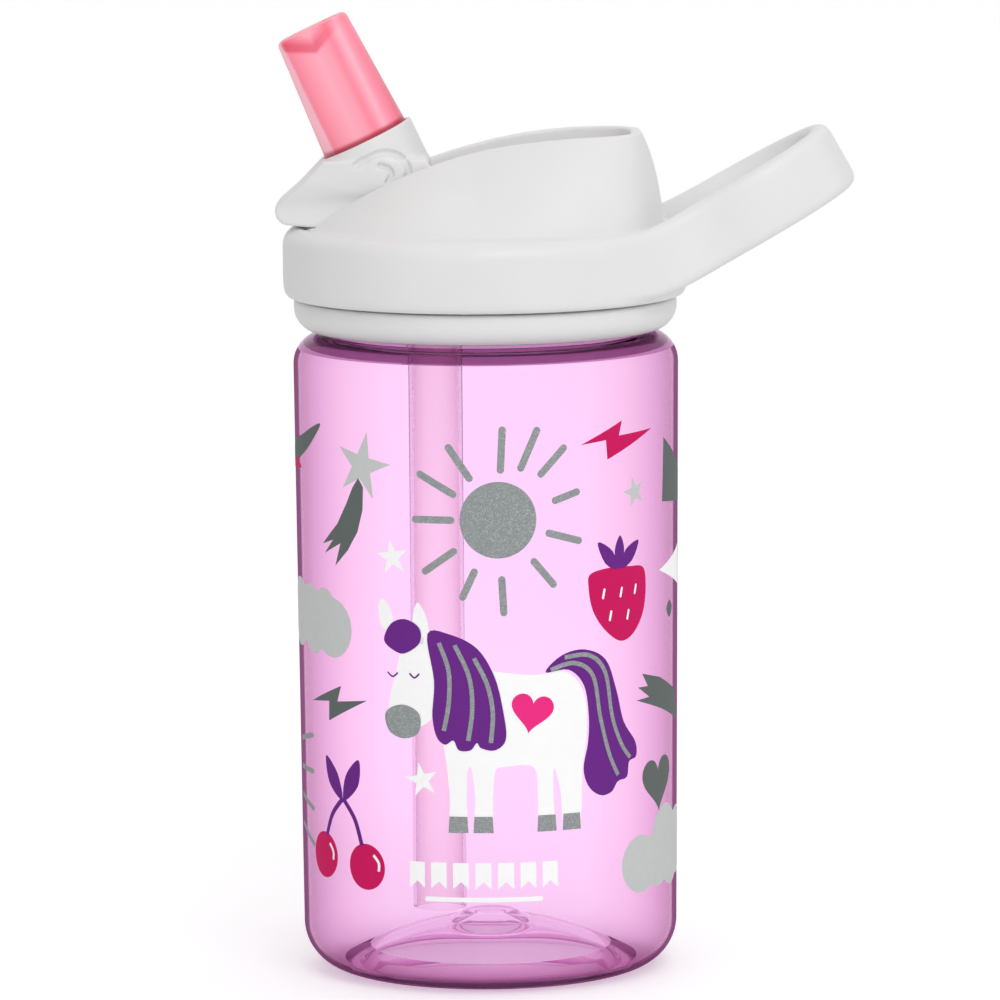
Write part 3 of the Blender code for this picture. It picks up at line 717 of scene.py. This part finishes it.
def strap_path():
    """Plan of the strap's middle: off the band at a tangent, along one arm, round the tip and back."""
    leave_r = BAND_R - STRAP_THICK / 2 - 0.15
    start = Vector((leave_r * math.cos(LOOP_LEAVE_ANGLE), leave_r * math.sin(LOOP_LEAVE_ANGLE)))
    tangent = Vector((math.sin(LOOP_LEAVE_ANGLE), -math.cos(LOOP_LEAVE_ANGLE)))
    straight = Vector((46.0, LOOP_HALF))
    hidden_angle = LOOP_LEAVE_ANGLE + math.radians(14)
    hidden_r = leave_r - 1.2
    plan = [Vector((hidden_r * math.cos(hidden_angle), hidden_r * math.sin(hidden_angle))), start]
    one, two = start + tangent * 9, straight - Vector((10, 0))
    for i in range(1, 25):
        t = i / 24
        plan.append(start * (1 - t) ** 3 + one * 3 * t * (1 - t) ** 2 + two * 3 * t * t * (1 - t) + straight * t**3)
    reach = LOOP_TIP_X - straight.x
    for i in range(1, 28):
        a = math.pi / 2 * i / 28
        plan.append(Vector((straight.x + reach * math.sin(a) ** 0.9, LOOP_HALF * math.cos(a) ** 0.8)))
    return plan + [Vector((LOOP_TIP_X, 0))] + [Vector((p.x, -p.y)) for p in reversed(plan)]


def strap_section(corner=2.0):
    """Rounded upright section of the strap as (across, up) points."""
    tall, wide = STRAP_HEIGHT / 2, STRAP_THICK / 2
    centres = [(wide - corner, tall - corner, 0), (-wide + corner, tall - corner, 90)]
    centres += [(-wide + corner, -tall + corner, 180), (wide - corner, -tall + corner, 270)]
    points = []
    for across, up, start in centres:
        points += arc(across, up, corner, start, start + 90, 5)
    return points


def carry_loop():
    path = strap_path()
    centre_z = (BAND_BOTTOM + BAND_TOP) / 2
    softness = 2.6
    rise = math.tan(LOOP_SLOPE)
    sections = []
    for i, point in enumerate(path):
        ahead, behind = path[min(i + 1, len(path) - 1)], path[max(i - 1, 0)]
        along = (ahead - behind).normalized()
        push = (point.x - LOOP_BEND_X) / softness
        z = centre_z + rise * softness * math.log1p(math.exp(push))
        slope = math.atan(rise / (1 + math.exp(-push)))
        up = Vector((-math.sin(slope), 0, math.cos(slope)))
        direction = Vector((along.x, along.y, math.tan(slope) * along.x)).normalized()
        side = direction.cross(up).normalized()
        middle = Vector((point.x, point.y, z))
        sections.append([middle + side * s + up * h for s, h in strap_section()])
    return loft(sections)


def make_cap_shell(white):
    edge = 3.6
    band = [(0, BAND_BOTTOM), (BAND_R - 1.1, BAND_BOTTOM), (BAND_R - 0.45, BAND_BOTTOM + 0.5)]
    band += [(BAND_R - 0.1, BAND_BOTTOM + 1.6), (BAND_R, BAND_BOTTOM + 4), (BAND_R, BAND_TOP - edge - 2)]
    band += arc(BAND_R - edge, BAND_TOP - edge, edge, 4, 90, 12) + [(0, BAND_TOP)]
    rest_half = LEVER_HALF + 0.4
    steps = [
        ("UNION", mound()),
        ("UNION", carry_loop()),
        ("DIFFERENCE", turned(arc(34.5, BAND_TOP + 0.1, 0.6, 0, 330, 11), 192)),
        ("DIFFERENCE", rod((0, 0, 120), (0, 0, CEILING_Z), COLLAR_R + 0.3, segments=160)),
        ("DIFFERENCE", prism(trough_outline(), TROUGH_FLOOR, 180)),
        ("DIFFERENCE", block((-42, -rest_half, BAND_TOP + 0.15), (TROUGH_LEFT + 1, rest_half, 160))),
        ("DIFFERENCE", rod((PIVOT_X, 0, 139), (PIVOT_X, 0, 142), 6.4)),
        ("DIFFERENCE", rod((PIVOT_X, -12.4, PIVOT_Z), (PIVOT_X, 12.4, PIVOT_Z), 2.8)),
    ]
    mesh = moulded(turned(band, 192), steps, 0.42, 4)
    piece("cap_outer", mesh, "cap", white, ["cap_shell"])


# ---------------------------------------------------------------- spout


def from_pivot(points):
    return [(PIVOT_X + x, PIVOT_Z + z) for x, z in points]


def spout_point(along, across=0.0):
    """A place in the spout's own directions, counted from the middle of the collar's rim."""
    x = SPOUT_FOOT_X - along * math.sin(SPOUT_LEAN) + across * math.cos(SPOUT_LEAN)
    z = SPOUT_FOOT_Z + along * math.cos(SPOUT_LEAN) + across * math.sin(SPOUT_LEAN)
    return (x, 0, z)


def lever_side():
    outline = [(-15.9, 7.1), (-20.7, 2.2), (-24.4, -0.9), (-25.4, -2.2), (-25.2, -3.9), (-23.9, -5.2)]
    outline += [(-20.5, -5.5), (-13.0, -5.7), (-6.0, -6.1)]
    outline += arc(0, 0, 6.6, -96, 0, 16)
    outline += [(4.7, 4.9), (3.3, 7.3)]
    return from_pivot(outline)


def divided(outline, step):
    """The same closed outline with its long sides cut into short ones."""
    points = []
    for (x, z), (next_x, next_z) in zip(outline, outline[1:] + outline[:1]):
        count = max(1, round(math.hypot(next_x - x, next_z - z) / step))
        points += [(x + (next_x - x) * i / count, z + (next_z - z) * i / count) for i in range(count)]
    return points


def lever_solid():
    stations = [-LEVER_HALF + 2 * LEVER_HALF * i / 12 for i in range(13)]
    sections = []
    for y in stations:
        section = []
        for x, z in divided(lever_side(), 0.8):
            narrowing = max(0.0, (-12.0 - (x - PIVOT_X)) / 13.0)
            section.append((x, y * (1 - 0.38 * narrowing**2), z))
        sections.append(section)
    return loft(sections)


def side_grooves():
    """Plan of the bent groove on each side of the lever and of the short one inside it."""
    hook = from_pivot([(-10.4, 5.9), (-8.2, 7.2), (-5.5, 8.4), (-2.9, 8.3), (-0.8, 7.0), (0.0, 5.1), (-0.4, 3.6)])
    stub = from_pivot([(-5.8, 6.2), (-3.9, 5.7), (-3.2, 4.4), (-4.2, 2.6)])
    return [ribbon(hook, 0.62), ribbon(stub, 0.5)]


def make_lever(white):
    inner = 7.8
    rim = spout_point(0)
    steps = [
        ("UNION", rod(spout_point(-10.5), spout_point(2), COLLAR_OUT_R, segments=96)),
        ("MELT", 16),
        ("DIFFERENCE", rod(rim, spout_point(6), 14)),
        ("DIFFERENCE", rod(spout_point(-4.7), spout_point(3), VALVE_SUNK_R + 0.2, segments=96)),
        ("DIFFERENCE", rod(spout_point(-0.9), spout_point(3), VALVE_FOOT_R + 0.1, segments=96)),
        ("DIFFERENCE", rod(spout_point(-12.4), rim, 5.1)),
        ("DIFFERENCE", rod((PIVOT_X, -inner, PIVOT_Z), (PIVOT_X, inner, PIVOT_Z), 6.5)),
        ("DIFFERENCE", block((PIVOT_X - 2, -inner, PIVOT_Z - 9), (PIVOT_X + 12, inner, PIVOT_Z + 6.3))),
        ("DIFFERENCE", block((PIVOT_X - 6.8, -inner, PIVOT_Z - 9), (PIVOT_X + 2, inner, PIVOT_Z - 1.5))),
        ("DIFFERENCE", rod((PIVOT_X, -15, PIVOT_Z), (PIVOT_X, 15, PIVOT_Z), 2.8)),
    ]
    for groove in side_grooves():
        for side in (-1, 1):
            tool = prism(groove, side * 4.5, side * 11, "Y")
            core = rod(spout_point(-20), spout_point(5), COLLAR_OUT_R - GROOVE_DEPTH, segments=128)
            cheek = LEVER_HALF - GROOVE_DEPTH
            behind = block((PIVOT_X - 20, -cheek, PIVOT_Z - 10), (PIVOT_X + 12, cheek, PIVOT_Z + 7.2))
            outside = bmesh.new()
            outside.from_mesh(moulded(tool, [("DIFFERENCE", core), ("DIFFERENCE", behind)]))
            steps.append(("DIFFERENCE", outside))
    mesh = moulded(lever_solid(), steps, 0.26, 3)
    piece("spout_flip_lever", mesh, "spout", white, ["spout_lever"])


def oval(half_x, half_y, z, power=2.0, points=72):
    """A section of the valve: an ellipse at power 2, squarer above that."""
    loop = []
    for i in range(points):
        a = math.tau * i / points
        c, s = math.cos(a), math.sin(a)
        reach = (abs(c) ** power + abs(s) ** power) ** (-1 / power)
        x, _, height = spout_point(z, half_x * reach * c)
        loop.append((x, half_y * reach * s, height))
    return loop


def valve_skin():
    foot, tip, thin_tip = VALVE_FOOT_R, 7.15, 5.6
    sunk = VALVE_SUNK_R
    sections = [oval(sunk - 0.5, sunk - 0.5, -4.4), oval(sunk, sunk, -3.9), oval(sunk, sunk, -1.1)]
    sections.append(oval(foot, foot, -0.5))
    rows = 16
    for i in range(rows + 1):
        t = i / rows
        thin = foot + (thin_tip - foot) * t**1.5
        sections.append(oval(foot + (tip - foot) * t, thin, (VALVE_LENGTH - TIP_ROUND) * t, 2 + 0.8 * t))
    for i in range(1, 7):
        a = math.pi / 2 * i / 6
        inset = TIP_ROUND * (1 - math.cos(a))
        rise = VALVE_LENGTH - TIP_ROUND * (1 - math.sin(a))
        sections.append(oval(tip - inset, thin_tip - inset, rise, 2.8))
    return loft(sections)


def make_valve():
    cavity = [oval(5.15, 5.15, -5.4), oval(5.15, 5.15, 2.2), oval(6.1, 6.1, 2.7), oval(6.0, 5.9, 8.0)]
    cavity += [oval(5.2, 4.2, 16.0), oval(4.4, 2.6, 19.6)]
    slit = block((-3.6, -0.2, 18.0), (3.6, 0.2, VALVE_LENGTH + 1))
    bmesh.ops.rotate(slit, cent=(0, 0, 0), matrix=Matrix.Rotation(-SPOUT_LEAN, 3, "Y"), verts=slit.verts)
    bmesh.ops.translate(slit, vec=spout_point(0), verts=slit.verts)
    steps = [("DIFFERENCE", loft(cavity)), ("DIFFERENCE", slit)]
    mesh = moulded(valve_skin(), steps, 0.22, 3)
    piece("mouthpiece", mesh, "spout", pink_silicone(), ["bite_valve"])


# ---------------------------------------------------------------- printed decoration


def smooth_outline(points, per_span=8):
    """A closed curve through the points, rounded like a drawn line."""
    count = len(points)
    curve = []
    for i in range(count):
        p0, p1, p2, p3 = (Vector(points[(i + k) % count]) for k in (-1, 0, 1, 2))
        for step in range(per_span):
            t = step / per_span
            spot = p1 * 2 + (p2 - p0) * t
            spot += (p0 * 2 - p1 * 5 + p2 * 4 - p3) * t * t
            spot += (-p0 + p1 * 3 - p2 * 3 + p3) * t**3
            curve.append((spot.x / 2, spot.y / 2))
    return curve


def circle(u, v, radius, steps=40):
    return [(u + radius * math.cos(math.tau * i / steps), v + radius * math.sin(math.tau * i / steps)) for i in range(steps)]


def capsule(start, end, half):
    """A short bar with round ends."""
    start, end = Vector(start), Vector(end)
    heading = math.atan2(end.y - start.y, end.x - start.x)
    points = []
    for centre, turn in ((end, -math.pi / 2), (start, math.pi / 2)):
        for i in range(9):
            a = heading + turn + math.pi * i / 8
            points.append((centre.x + half * math.cos(a), centre.y + half * math.sin(a)))
    return points


def star(u, v, outer, turn=0.0, inner_share=0.45):
    points = []
    for i in range(10):
        a = math.radians(90 + turn) + math.pi * i / 5
        r = outer if i % 2 == 0 else outer * inner_share
        points.append((u + r * math.cos(a), v + r * math.sin(a)))
    return points


def heart(u, v, width, lean=0.0):
    points = []
    for i in range(40):
        a = math.tau * i / 40
        x = 16 * math.sin(a) ** 3
        y = 13 * math.cos(a) - 5 * math.cos(2 * a) - 2 * math.cos(3 * a) - math.cos(4 * a)
        x, y = x * width / 32, y * width / 32
        points.append((u + x * math.cos(lean) - y * math.sin(lean), v + x * math.sin(lean) + y * math.cos(lean)))
    return points


def wall_radius(v):
    """Radius of the bottle's outer wall at a height."""
    share = (v - CORNER_R) / (SHOULDER_Z - SHOULDER_R - CORNER_R)
    return BODY_R_LOW + (BODY_R - BODY_R_LOW) * share


def wrapped(outlines, lift):
    """Flat outlines filled, cut into narrow strips and laid round the wall."""
    bm = bmesh.new()
    for outline in outlines:
        flat = [Vector((u, v, 0)) for u, v in outline]
        verts = [bm.verts.new(point) for point in flat]
        for corners in tessellate_polygon([flat]):
            bm.faces.new([verts[i] for i in corners])
    low = min(v.co.x for v in bm.verts)
    high = max(v.co.x for v in bm.verts)
    strip = 1.2
    for i in range(1, int((high - low) / strip) + 1):
        spot = (low + strip * i, 0, 0)
        bmesh.ops.bisect_plane(bm, geom=bm.verts[:] + bm.edges[:] + bm.faces[:], plane_co=spot, plane_no=(1, 0, 0))
    for vert in bm.verts:
        u, v = vert.co.x, vert.co.y
        r = wall_radius(v)
        angle = u / r
        vert.co = ((r + lift) * math.sin(angle), -(r + lift) * math.cos(angle), v)
    bmesh.ops.recalc_face_normals(bm, faces=bm.faces)
    return bm


PRINTS = {}


def draw(colour, outlines, layer=0):
    """Collects outlines to be printed in one ink and one layer."""
    PRINTS.setdefault((colour, layer), []).extend(outlines)


def draw_sun():
    u, v = 2.1, 90.3
    draw("glitter", [circle(u, v, 7.2, 56)])
    rays = [(17, 11.4, 16), (46, 11.7, 18.2), (66, 10.6, 18.2), (87, 9.4, 16.9), (124, 9.5, 16.4), (150, 9.7, 17)]
    rays += [(180, 8.8, 15.7), (215, 10.2, 16.9), (245, 10.7, 15.9), (273, 11.2, 17.4), (310, 10.4, 16.2)]
    rays.append((344, 10.0, 16.3))
    for degrees, near, far in rays:
        a = math.radians(degrees)
        start = (u + near * math.cos(a), v + near * math.sin(a))
        end = (u + far * math.cos(a), v + far * math.sin(a))
        draw("glitter", [capsule(start, end, 0.69)])


def draw_pony():
    body = [(-16.2, 66.5), (-12.0, 68.4), (-8.6, 66.0), (-4.0, 62.8), (3.0, 61.6), (9.0, 61.0), (15.0, 61.2)]
    body += [(18.6, 57.0), (19.2, 50.0), (18.2, 42.0), (17.6, 32.6), (14.4, 32.6), (13.6, 39.0), (12.4, 43.2)]
    body += [(12.2, 38.0), (12.2, 32.6), (9.4, 32.6), (9.2, 38.0), (8.4, 43.6), (3.0, 43.8), (1.2, 43.0)]
    body += [(0.7, 38.0), (0.4, 32.6), (-2.6, 32.6), (-2.6, 38.0), (-3.2, 43.4), (-4.0, 43.0), (-4.2, 38.0)]
    body += [(-4.4, 32.6), (-7.3, 32.6), (-7.4, 38.0), (-8.2, 46.0), (-9.6, 53.0), (-12.2, 51.6), (-16.8, 49.6)]
    body += [(-19.6, 52.0), (-19.2, 56.4), (-17.8, 61.6)]
    draw("white", [smooth_outline(body, 5)])
    draw("white", [smooth_outline([(-13.6, 67.0), (-14.4, 71.0), (-13.4, 74.6), (-11.6, 71.8), (-11.2, 67.6)], 5)])
    ear = [(-20.8, 69.5), (-21.6, 73.0), (-20.9, 74.9), (-19.2, 73.4), (-18.2, 69.5)]
    draw("white", [smooth_outline(ear, 5)])
    for u, half in ((-18.6, 1.1), (-14.1, 1.0)):
        draw("purple", [ribbon([(u - half, 61.2), (u, 60.4), (u + half, 61.2)], 0.16)], 1)
    muzzle = [(-20.2, 53.6), (-19.6, 50.2), (-16.6, 48.8), (-13.4, 50.0), (-13.2, 53.6), (-16.6, 55.2)]
    draw("glitter", [smooth_outline(muzzle, 5)], 1)
    for low in (-7.3, -2.6, 9.4, 14.4):
        draw("glitter", [[(low - 0.2, 34.4), (low - 0.4, 31.3), (low + 3.4, 31.3), (low + 3.2, 34.4)]], 1)
    fringe = [(-20.4, 67.2), (-18.8, 70.4), (-15.8, 71.4), (-13.0, 69.8), (-13.0, 67.0), (-15.8, 65.0), (-18.0, 65.2)]
    mane = [(-11.4, 68.8), (-7.0, 68.8), (-2.0, 66.2), (1.2, 60.8), (2.8, 54.0), (3.2, 49.0), (1.2, 47.0)]
    mane += [(-1.4, 47.4), (-2.2, 48.4), (-3.4, 47.0), (-5.6, 47.0), (-6.6, 48.8), (-8.2, 48.0), (-9.8, 49.4)]
    mane += [(-10.6, 53.4), (-10.2, 60.0)]
    tail = [(10.8, 61.4), (14.0, 64.4), (18.8, 65.2), (23.6, 62.8), (26.2, 56.6), (28.0, 50.6), (31.2, 46.4)]
    tail += [(31.4, 43.6), (29.4, 42.8), (28.8, 40.0), (26.4, 39.4), (24.8, 37.6), (22.2, 37.2), (19.6, 39.0)]
    tail += [(18.4, 42.6), (19.4, 47.6), (19.6, 52.6), (18.6, 58.4), (15.4, 61.6)]
    draw("purple", [smooth_outline(fringe, 5), smooth_outline(mane, 5), smooth_outline(tail, 5)], 2)
    strands = [
        [(-9.2, 67.2), (-7.4, 62.0), (-7.4, 56.0), (-8.4, 50.6)],
        [(-6.2, 66.8), (-3.6, 61.0), (-3.0, 55.0), (-3.8, 48.8)],
        [(-2.6, 64.4), (-0.2, 59.4), (0.8, 54.0), (0.4, 48.4)],
        [(11.8, 61.8), (16.6, 62.8), (20.6, 60.0), (22.2, 52.0), (24.2, 45.0), (26.4, 40.6)],
        [(14.6, 64.0), (19.8, 64.0), (23.4, 60.4), (25.0, 52.0), (27.2, 46.6), (29.6, 43.6)],
    ]
    for strand in strands:
        draw("glitter", [ribbon(strand, 0.42)], 3)
    draw("hot_pink", [heart(8.2, 54.2, 8.2, -0.18)], 1)


def ribbon(points, half, tip_share=1.0):
    """A line of even width through a few points, as a closed outline."""
    spine = []
    count = len(points)
    for i in range(count - 1):
        p0 = Vector(points[max(i - 1, 0)])
        p1, p2 = Vector(points[i]), Vector(points[i + 1])
        p3 = Vector(points[min(i + 2, count - 1)])
        for step in range(8):
            t = step / 8
            spot = p1 * 2 + (p2 - p0) * t + (p0 * 2 - p1 * 5 + p2 * 4 - p3) * t * t
            spine.append((spot + (-p0 + p1 * 3 - p2 * 3 + p3) * t**3) / 2)
    spine.append(Vector(points[-1]))
    left, right = [], []
    for i, spot in enumerate(spine):
        along = (spine[min(i + 1, len(spine) - 1)] - spine[max(i - 1, 0)]).normalized()
        width = half * (1 + (tip_share - 1) * i / (len(spine) - 1))
        left.append((spot.x - along.y * width, spot.y + along.x * width))
        right.append((spot.x + along.y * width, spot.y - along.x * width))
    return left + right[::-1]


def draw_berries():
    berry = [(20.3, 79.3), (19.8, 76.8), (20.7, 72.4), (23.3, 68.6), (27.2, 66.0), (30.8, 67.0), (33.8, 70.6)]
    berry += [(34.8, 75.2), (34.0, 79.2), (29.7, 79.9), (24.8, 80.1)]
    draw("crimson", [smooth_outline(berry, 5)])
    leaves = [[(26.6, 79.7), (23.6, 81.0), (21.9, 85.1), (25.4, 83.2)], [(27.0, 79.7), (25.9, 83.0), (27.3, 86.0), (28.4, 83.0)]]
    leaves += [[(27.4, 79.7), (28.8, 83.2), (32.5, 84.6), (30.6, 81.0)]]
    draw("purple", [smooth_outline(leaf, 4) for leaf in leaves], 1)
    for u, v in ((23.3, 75.3), (27.6, 75.2), (31.5, 75.4), (24.9, 71.0), (29.4, 70.8)):
        draw("white", [capsule((u - 0.25, v - 0.75), (u + 0.1, v + 0.75), 0.25)], 1)
    for u, v in ((-37.6, 24.4), (-25.2, 23.6)):
        draw("crimson", [circle(u, v, 4.4)])
        draw("white", [ribbon([(u + 1.8, v + 2.4), (u + 3.0, v + 1.0), (u + 3.0, v - 0.6)], 0.28)], 1)
    draw("purple", [ribbon([(-36.6, 28.4), (-34.6, 32.6), (-31.2, 36.0)], 0.5)], 2)
    draw("purple", [ribbon([(-26.2, 27.6), (-28.0, 32.4), (-31.2, 36.0)], 0.5)], 2)
    draw("purple", [smooth_outline([(-31.4, 35.6), (-35.6, 38.6), (-36.6, 43.6), (-32.8, 40.6)], 5)], 2)
    draw("purple", [smooth_outline([(-31.0, 35.6), (-30.4, 40.4), (-26.8, 43.8), (-27.0, 38.8)], 5)], 2)


def draw_pennants():
    """A plain white bar with a row of small pennants over it, low on the front."""
    left, right, level = -16.0, 13.6, 18.6
    draw("white", [capsule((left + 4, level), (right - 4, level), 0.45)])
    count = 7
    for i in range(count):
        u = left + (right - left) * (i + 0.5) / count
        draw("white", [[(u - 1.5, level + 7.0), (u - 1.5, level + 2.0), (u, level + 3.4), (u + 1.5, level + 2.0), (u + 1.5, level + 7.0)]])


def cloud(u, v, lobes):
    """The outer edge of overlapping round lobes (across, up, radius), seen from the cloud's middle."""
    points = []
    for i in range(90):
        a = math.tau * i / 90
        reach = 0.0
        for across, up, radius in lobes:
            ahead = across * math.cos(a) + up * math.sin(a)
            beside = across * math.sin(a) - up * math.cos(a)
            if abs(beside) < radius:
                reach = max(reach, ahead + math.sqrt(radius**2 - beside**2))
        points.append((u + reach * math.cos(a), v + reach * math.sin(a)))
    return points


def draw_sky():
    draw("pale_grey", [star(-25.3, 99.6, 6.7, -12, 0.36)])
    comet = [(-26.1, 97.3), (-27.6, 95.4), (-29.3, 92.2), (-31.9, 88.2), (-36.8, 83.9), (-33.3, 85.0), (-36.1, 82.2)]
    comet += [(-31.1, 84.5), (-32.7, 80.1), (-29.0, 83.4), (-26.4, 87.1), (-25.1, 91.3), (-24.9, 95.6)]
    draw("dark_grey", [comet], 1)
    draw("white", [star(-18.5, 82.9, 3.4, 8, 0.38), star(-12.8, 41.1, 3.4, 12, 0.38)])
    draw("pale_grey", [star(31.4, 93.8, 3.2, 14, 0.38)])
    draw("pale_grey", [cloud(-41.0, 69.0, [(-8.5, 0.5, 6.6), (-2.0, 1.0, 5.6), (4.2, 2.6, 3.9), (7.0, -0.8, 5.7), (0.0, -1.5, 5.0)])])
    draw("pale_grey", [cloud(42.0, 24.4, [(0.6, 3.0, 5.6), (-9.0, -1.6, 5.6), (-3.0, -1.4, 5.4), (3.6, -2.4, 5.0), (8.6, 0.4, 6.6)])])
    draw("crimson", [[(18.3, 103.7), (28.0, 107.6), (27.2, 104.8), (37.0, 105.3), (24.3, 100.5), (24.0, 104.2)]])
    draw("dark_grey", [[(-42.3, 53.3), (-31.5, 57.4), (-32.7, 54.3), (-24.5, 55.3), (-35.5, 50.3), (-35.4, 54.1)]])
    draw("dark_grey", [heart(39.3, 37.9, 11.6, 0.05)])
    tail = [(33.5, 59.0), (40.1, 57.5), (49.7, 53.6), (50.8, 47.9), (40.1, 51.6), (31.7, 54.1), (35.9, 54.3)]
    draw("dark_grey", [tail + [(32.2, 56.5), (35.4, 56.4)]])
    draw("dark_grey", [[(42.0, 103.0), (54.5, 95.6), (54.5, 89.4), (41.3, 90.8)]])
    draw("dark_grey", [smooth_outline([(45.1, 71.6), (43.4, 70.0), (45.1, 68.3), (46.8, 70.0)], 5)])
    draw("white", [[(39.9, 77.9), (53.0, 81.4), (53.0, 73.6)]])
    draw("dark_grey", [smooth_outline([(-54.0, 97.4), (-54.0, 101.4), (-46.0, 103.6), (-37.2, 106.6), (-43.6, 100.9)], 5)])
    draw("crimson", [[(-54.0, 96.6), (-54.0, 98.4), (-49.0, 99.0), (-46.4, 97.2)]], 1)
    for v, end in ((45.0, 46.6), (39.6, 39.6), (34.2, 32.4), (28.6, 25.6)):
        draw("glitter", [capsule((-50.0, v), (-42.6, end), 0.5)])


def make_prints():
    colours = {
        "white": ((0.98, 0.98, 0.98), 0),
        "purple": ((0.150, 0.024, 0.245), 0),
        "crimson": ((0.62, 0.010, 0.115), 0),
        "hot_pink": ((0.86, 0.030, 0.235), 0),
        "glitter": ((0.31, 0.335, 0.34), 0.13),
        "dark_grey": ((0.125, 0.148, 0.14), 0),
        "pale_grey": ((0.58, 0.595, 0.59), 0),
    }
    draw_sun()
    draw_pony()
    draw_berries()
    draw_sky()
    draw_pennants()
    looks = {name: ink(name, colour, glitter) for name, (colour, glitter) in colours.items()}
    for (colour, layer), outlines in PRINTS.items():
        bm = wrapped(outlines, 0.06 + 0.05 * layer)
        piece(f"print_{colour}_{layer}", bm, "bottle", looks[colour])


# ---------------------------------------------------------------- small CAD pieces that are kept


def dress_cad_nodes():
    grey = plastic("grey_silicone", (0.62, 0.63, 0.65), (0.56, 0.57, 0.59), 0.5)
    natural = plastic("frosted", (0.88, 0.86, 0.88), (0.82, 0.80, 0.82), 0.35)
    looks = {"spout_stem": natural, "port_seal": grey, "vent_valve": grey, "cap_gasket": grey}
    for name, look in looks.items():
        mesh = frame["nodes"][name].data
        mesh.materials.clear()
        mesh.materials.append(look)


# ---------------------------------------------------------------- stage, light and camera


def make_stage():
    floor_bm = bmesh.new()
    bmesh.ops.create_grid(floor_bm, x_segments=1, y_segments=1, size=6.0)
    mesh = bpy.data.meshes.new("floor")
    floor_bm.to_mesh(mesh)
    floor_bm.free()
    floor = bpy.data.objects.new("floor", mesh)
    bpy.context.scene.collection.objects.link(floor)
    made, nodes, links, shader = new_material("floor")
    soft = noise(nodes, 2.0)
    colour = ramp(nodes, links, soft.outputs["Fac"], [(0.0, (0.93, 0.93, 0.93)), (1.0, (0.95, 0.95, 0.95))])
    links.new(colour.outputs["Color"], shader.inputs["Base Color"])
    shader.inputs["Roughness"].default_value = 0.7
    shader.inputs["Emission Color"].default_value = (1.0, 1.0, 1.0, 1.0)
    rays = nodes.new("ShaderNodeLightPath")
    seen = nodes.new("ShaderNodeMath")
    seen.operation = "MAXIMUM"
    links.new(rays.outputs["Is Camera Ray"], seen.inputs[0])
    links.new(rays.outputs["Is Transmission Ray"], seen.inputs[1])
    glow = nodes.new("ShaderNodeMath")
    glow.operation = "MULTIPLY"
    glow.inputs[1].default_value = 0.28
    links.new(seen.outputs["Value"], glow.inputs[0])
    links.new(glow.outputs["Value"], shader.inputs["Emission Strength"])
    mesh.materials.append(made)


def make_world():
    """A white studio whose far sides are dim, which darkens round edges; the camera sees plain white."""
    world = bpy.data.worlds.new("studio")
    world.use_nodes = True
    nodes, links = world.node_tree.nodes, world.node_tree.links
    background = nodes["Background"]
    place = nodes.new("ShaderNodeTexCoord")
    split = nodes.new("ShaderNodeSeparateXYZ")
    links.new(place.outputs["Generated"], split.inputs["Vector"])
    sideways = nodes.new("ShaderNodeMath")
    sideways.operation = "ABSOLUTE"
    links.new(split.outputs["X"], sideways.inputs[0])
    dim = ramp(
        nodes,
        links,
        sideways.outputs["Value"],
        [(0.0, (0.90, 0.90, 0.90)), (0.5, (0.84, 0.84, 0.84)), (0.93, (0.24, 0.24, 0.24))],
    )
    rays = nodes.new("ShaderNodeLightPath")
    choose = nodes.new("ShaderNodeMix")
    choose.data_type = "RGBA"
    choose.inputs["B"].default_value = (1.0, 1.0, 1.0, 1.0)
    links.new(rays.outputs["Is Camera Ray"], choose.inputs["Factor"])
    links.new(dim.outputs["Color"], choose.inputs["A"])
    links.new(choose.outputs["Result"], background.inputs["Color"])
    bpy.context.scene.world = world
    bpy.context.scene.view_settings.view_transform = "Standard"


def area_light(name, place, target, size, power):
    light = bpy.data.lights.new(name, "AREA")
    light.shape = "RECTANGLE"
    light.size, light.size_y = size
    light.energy = power
    made = bpy.data.objects.new(name, light)
    made.location = place
    direction = Vector(target) - Vector(place)
    made.rotation_euler = direction.to_track_quat("-Z", "Y").to_euler()
    bpy.context.scene.collection.objects.link(made)


def make_lights():
    aim = (AXIS_X * MM, 0, 0.1)
    area_light("key", (0.25, -0.85, 0.95), aim, (0.6, 0.5), 2.75)
    area_light("fill", (0.85, -0.1, 0.40), aim, (0.3, 0.6), 0.65)


def make_camera():
    camera = bpy.data.cameras.new("camera")
    camera.sensor_width = 36.0
    camera.lens = 286.4
    made = bpy.data.objects.new("camera", camera)
    pitch = math.radians(90 - 7.461)
    roll = math.radians(-0.484)
    turn = Matrix.Rotation(pitch, 4, "X") @ Matrix.Rotation(roll, 4, "Z")
    place = Matrix.Translation(((AXIS_X + 2.48) * MM, -1500.9 * MM, 285.9 * MM))
    made.matrix_world = place @ turn
    camera.clip_start, camera.clip_end = 0.05, 50.0
    bpy.context.scene.collection.objects.link(made)
    bpy.context.scene.camera = made


white_plastic = plastic("white_plastic", (0.845, 0.845, 0.845), (0.825, 0.825, 0.825), 0.42)
make_bottle()
make_straw()
make_cap_ring(white_plastic)
make_cap_shell(white_plastic)
make_lever(white_plastic)
make_valve()
make_prints()
dress_cad_nodes()
make_stage()
make_world()
make_lights()
make_camera()
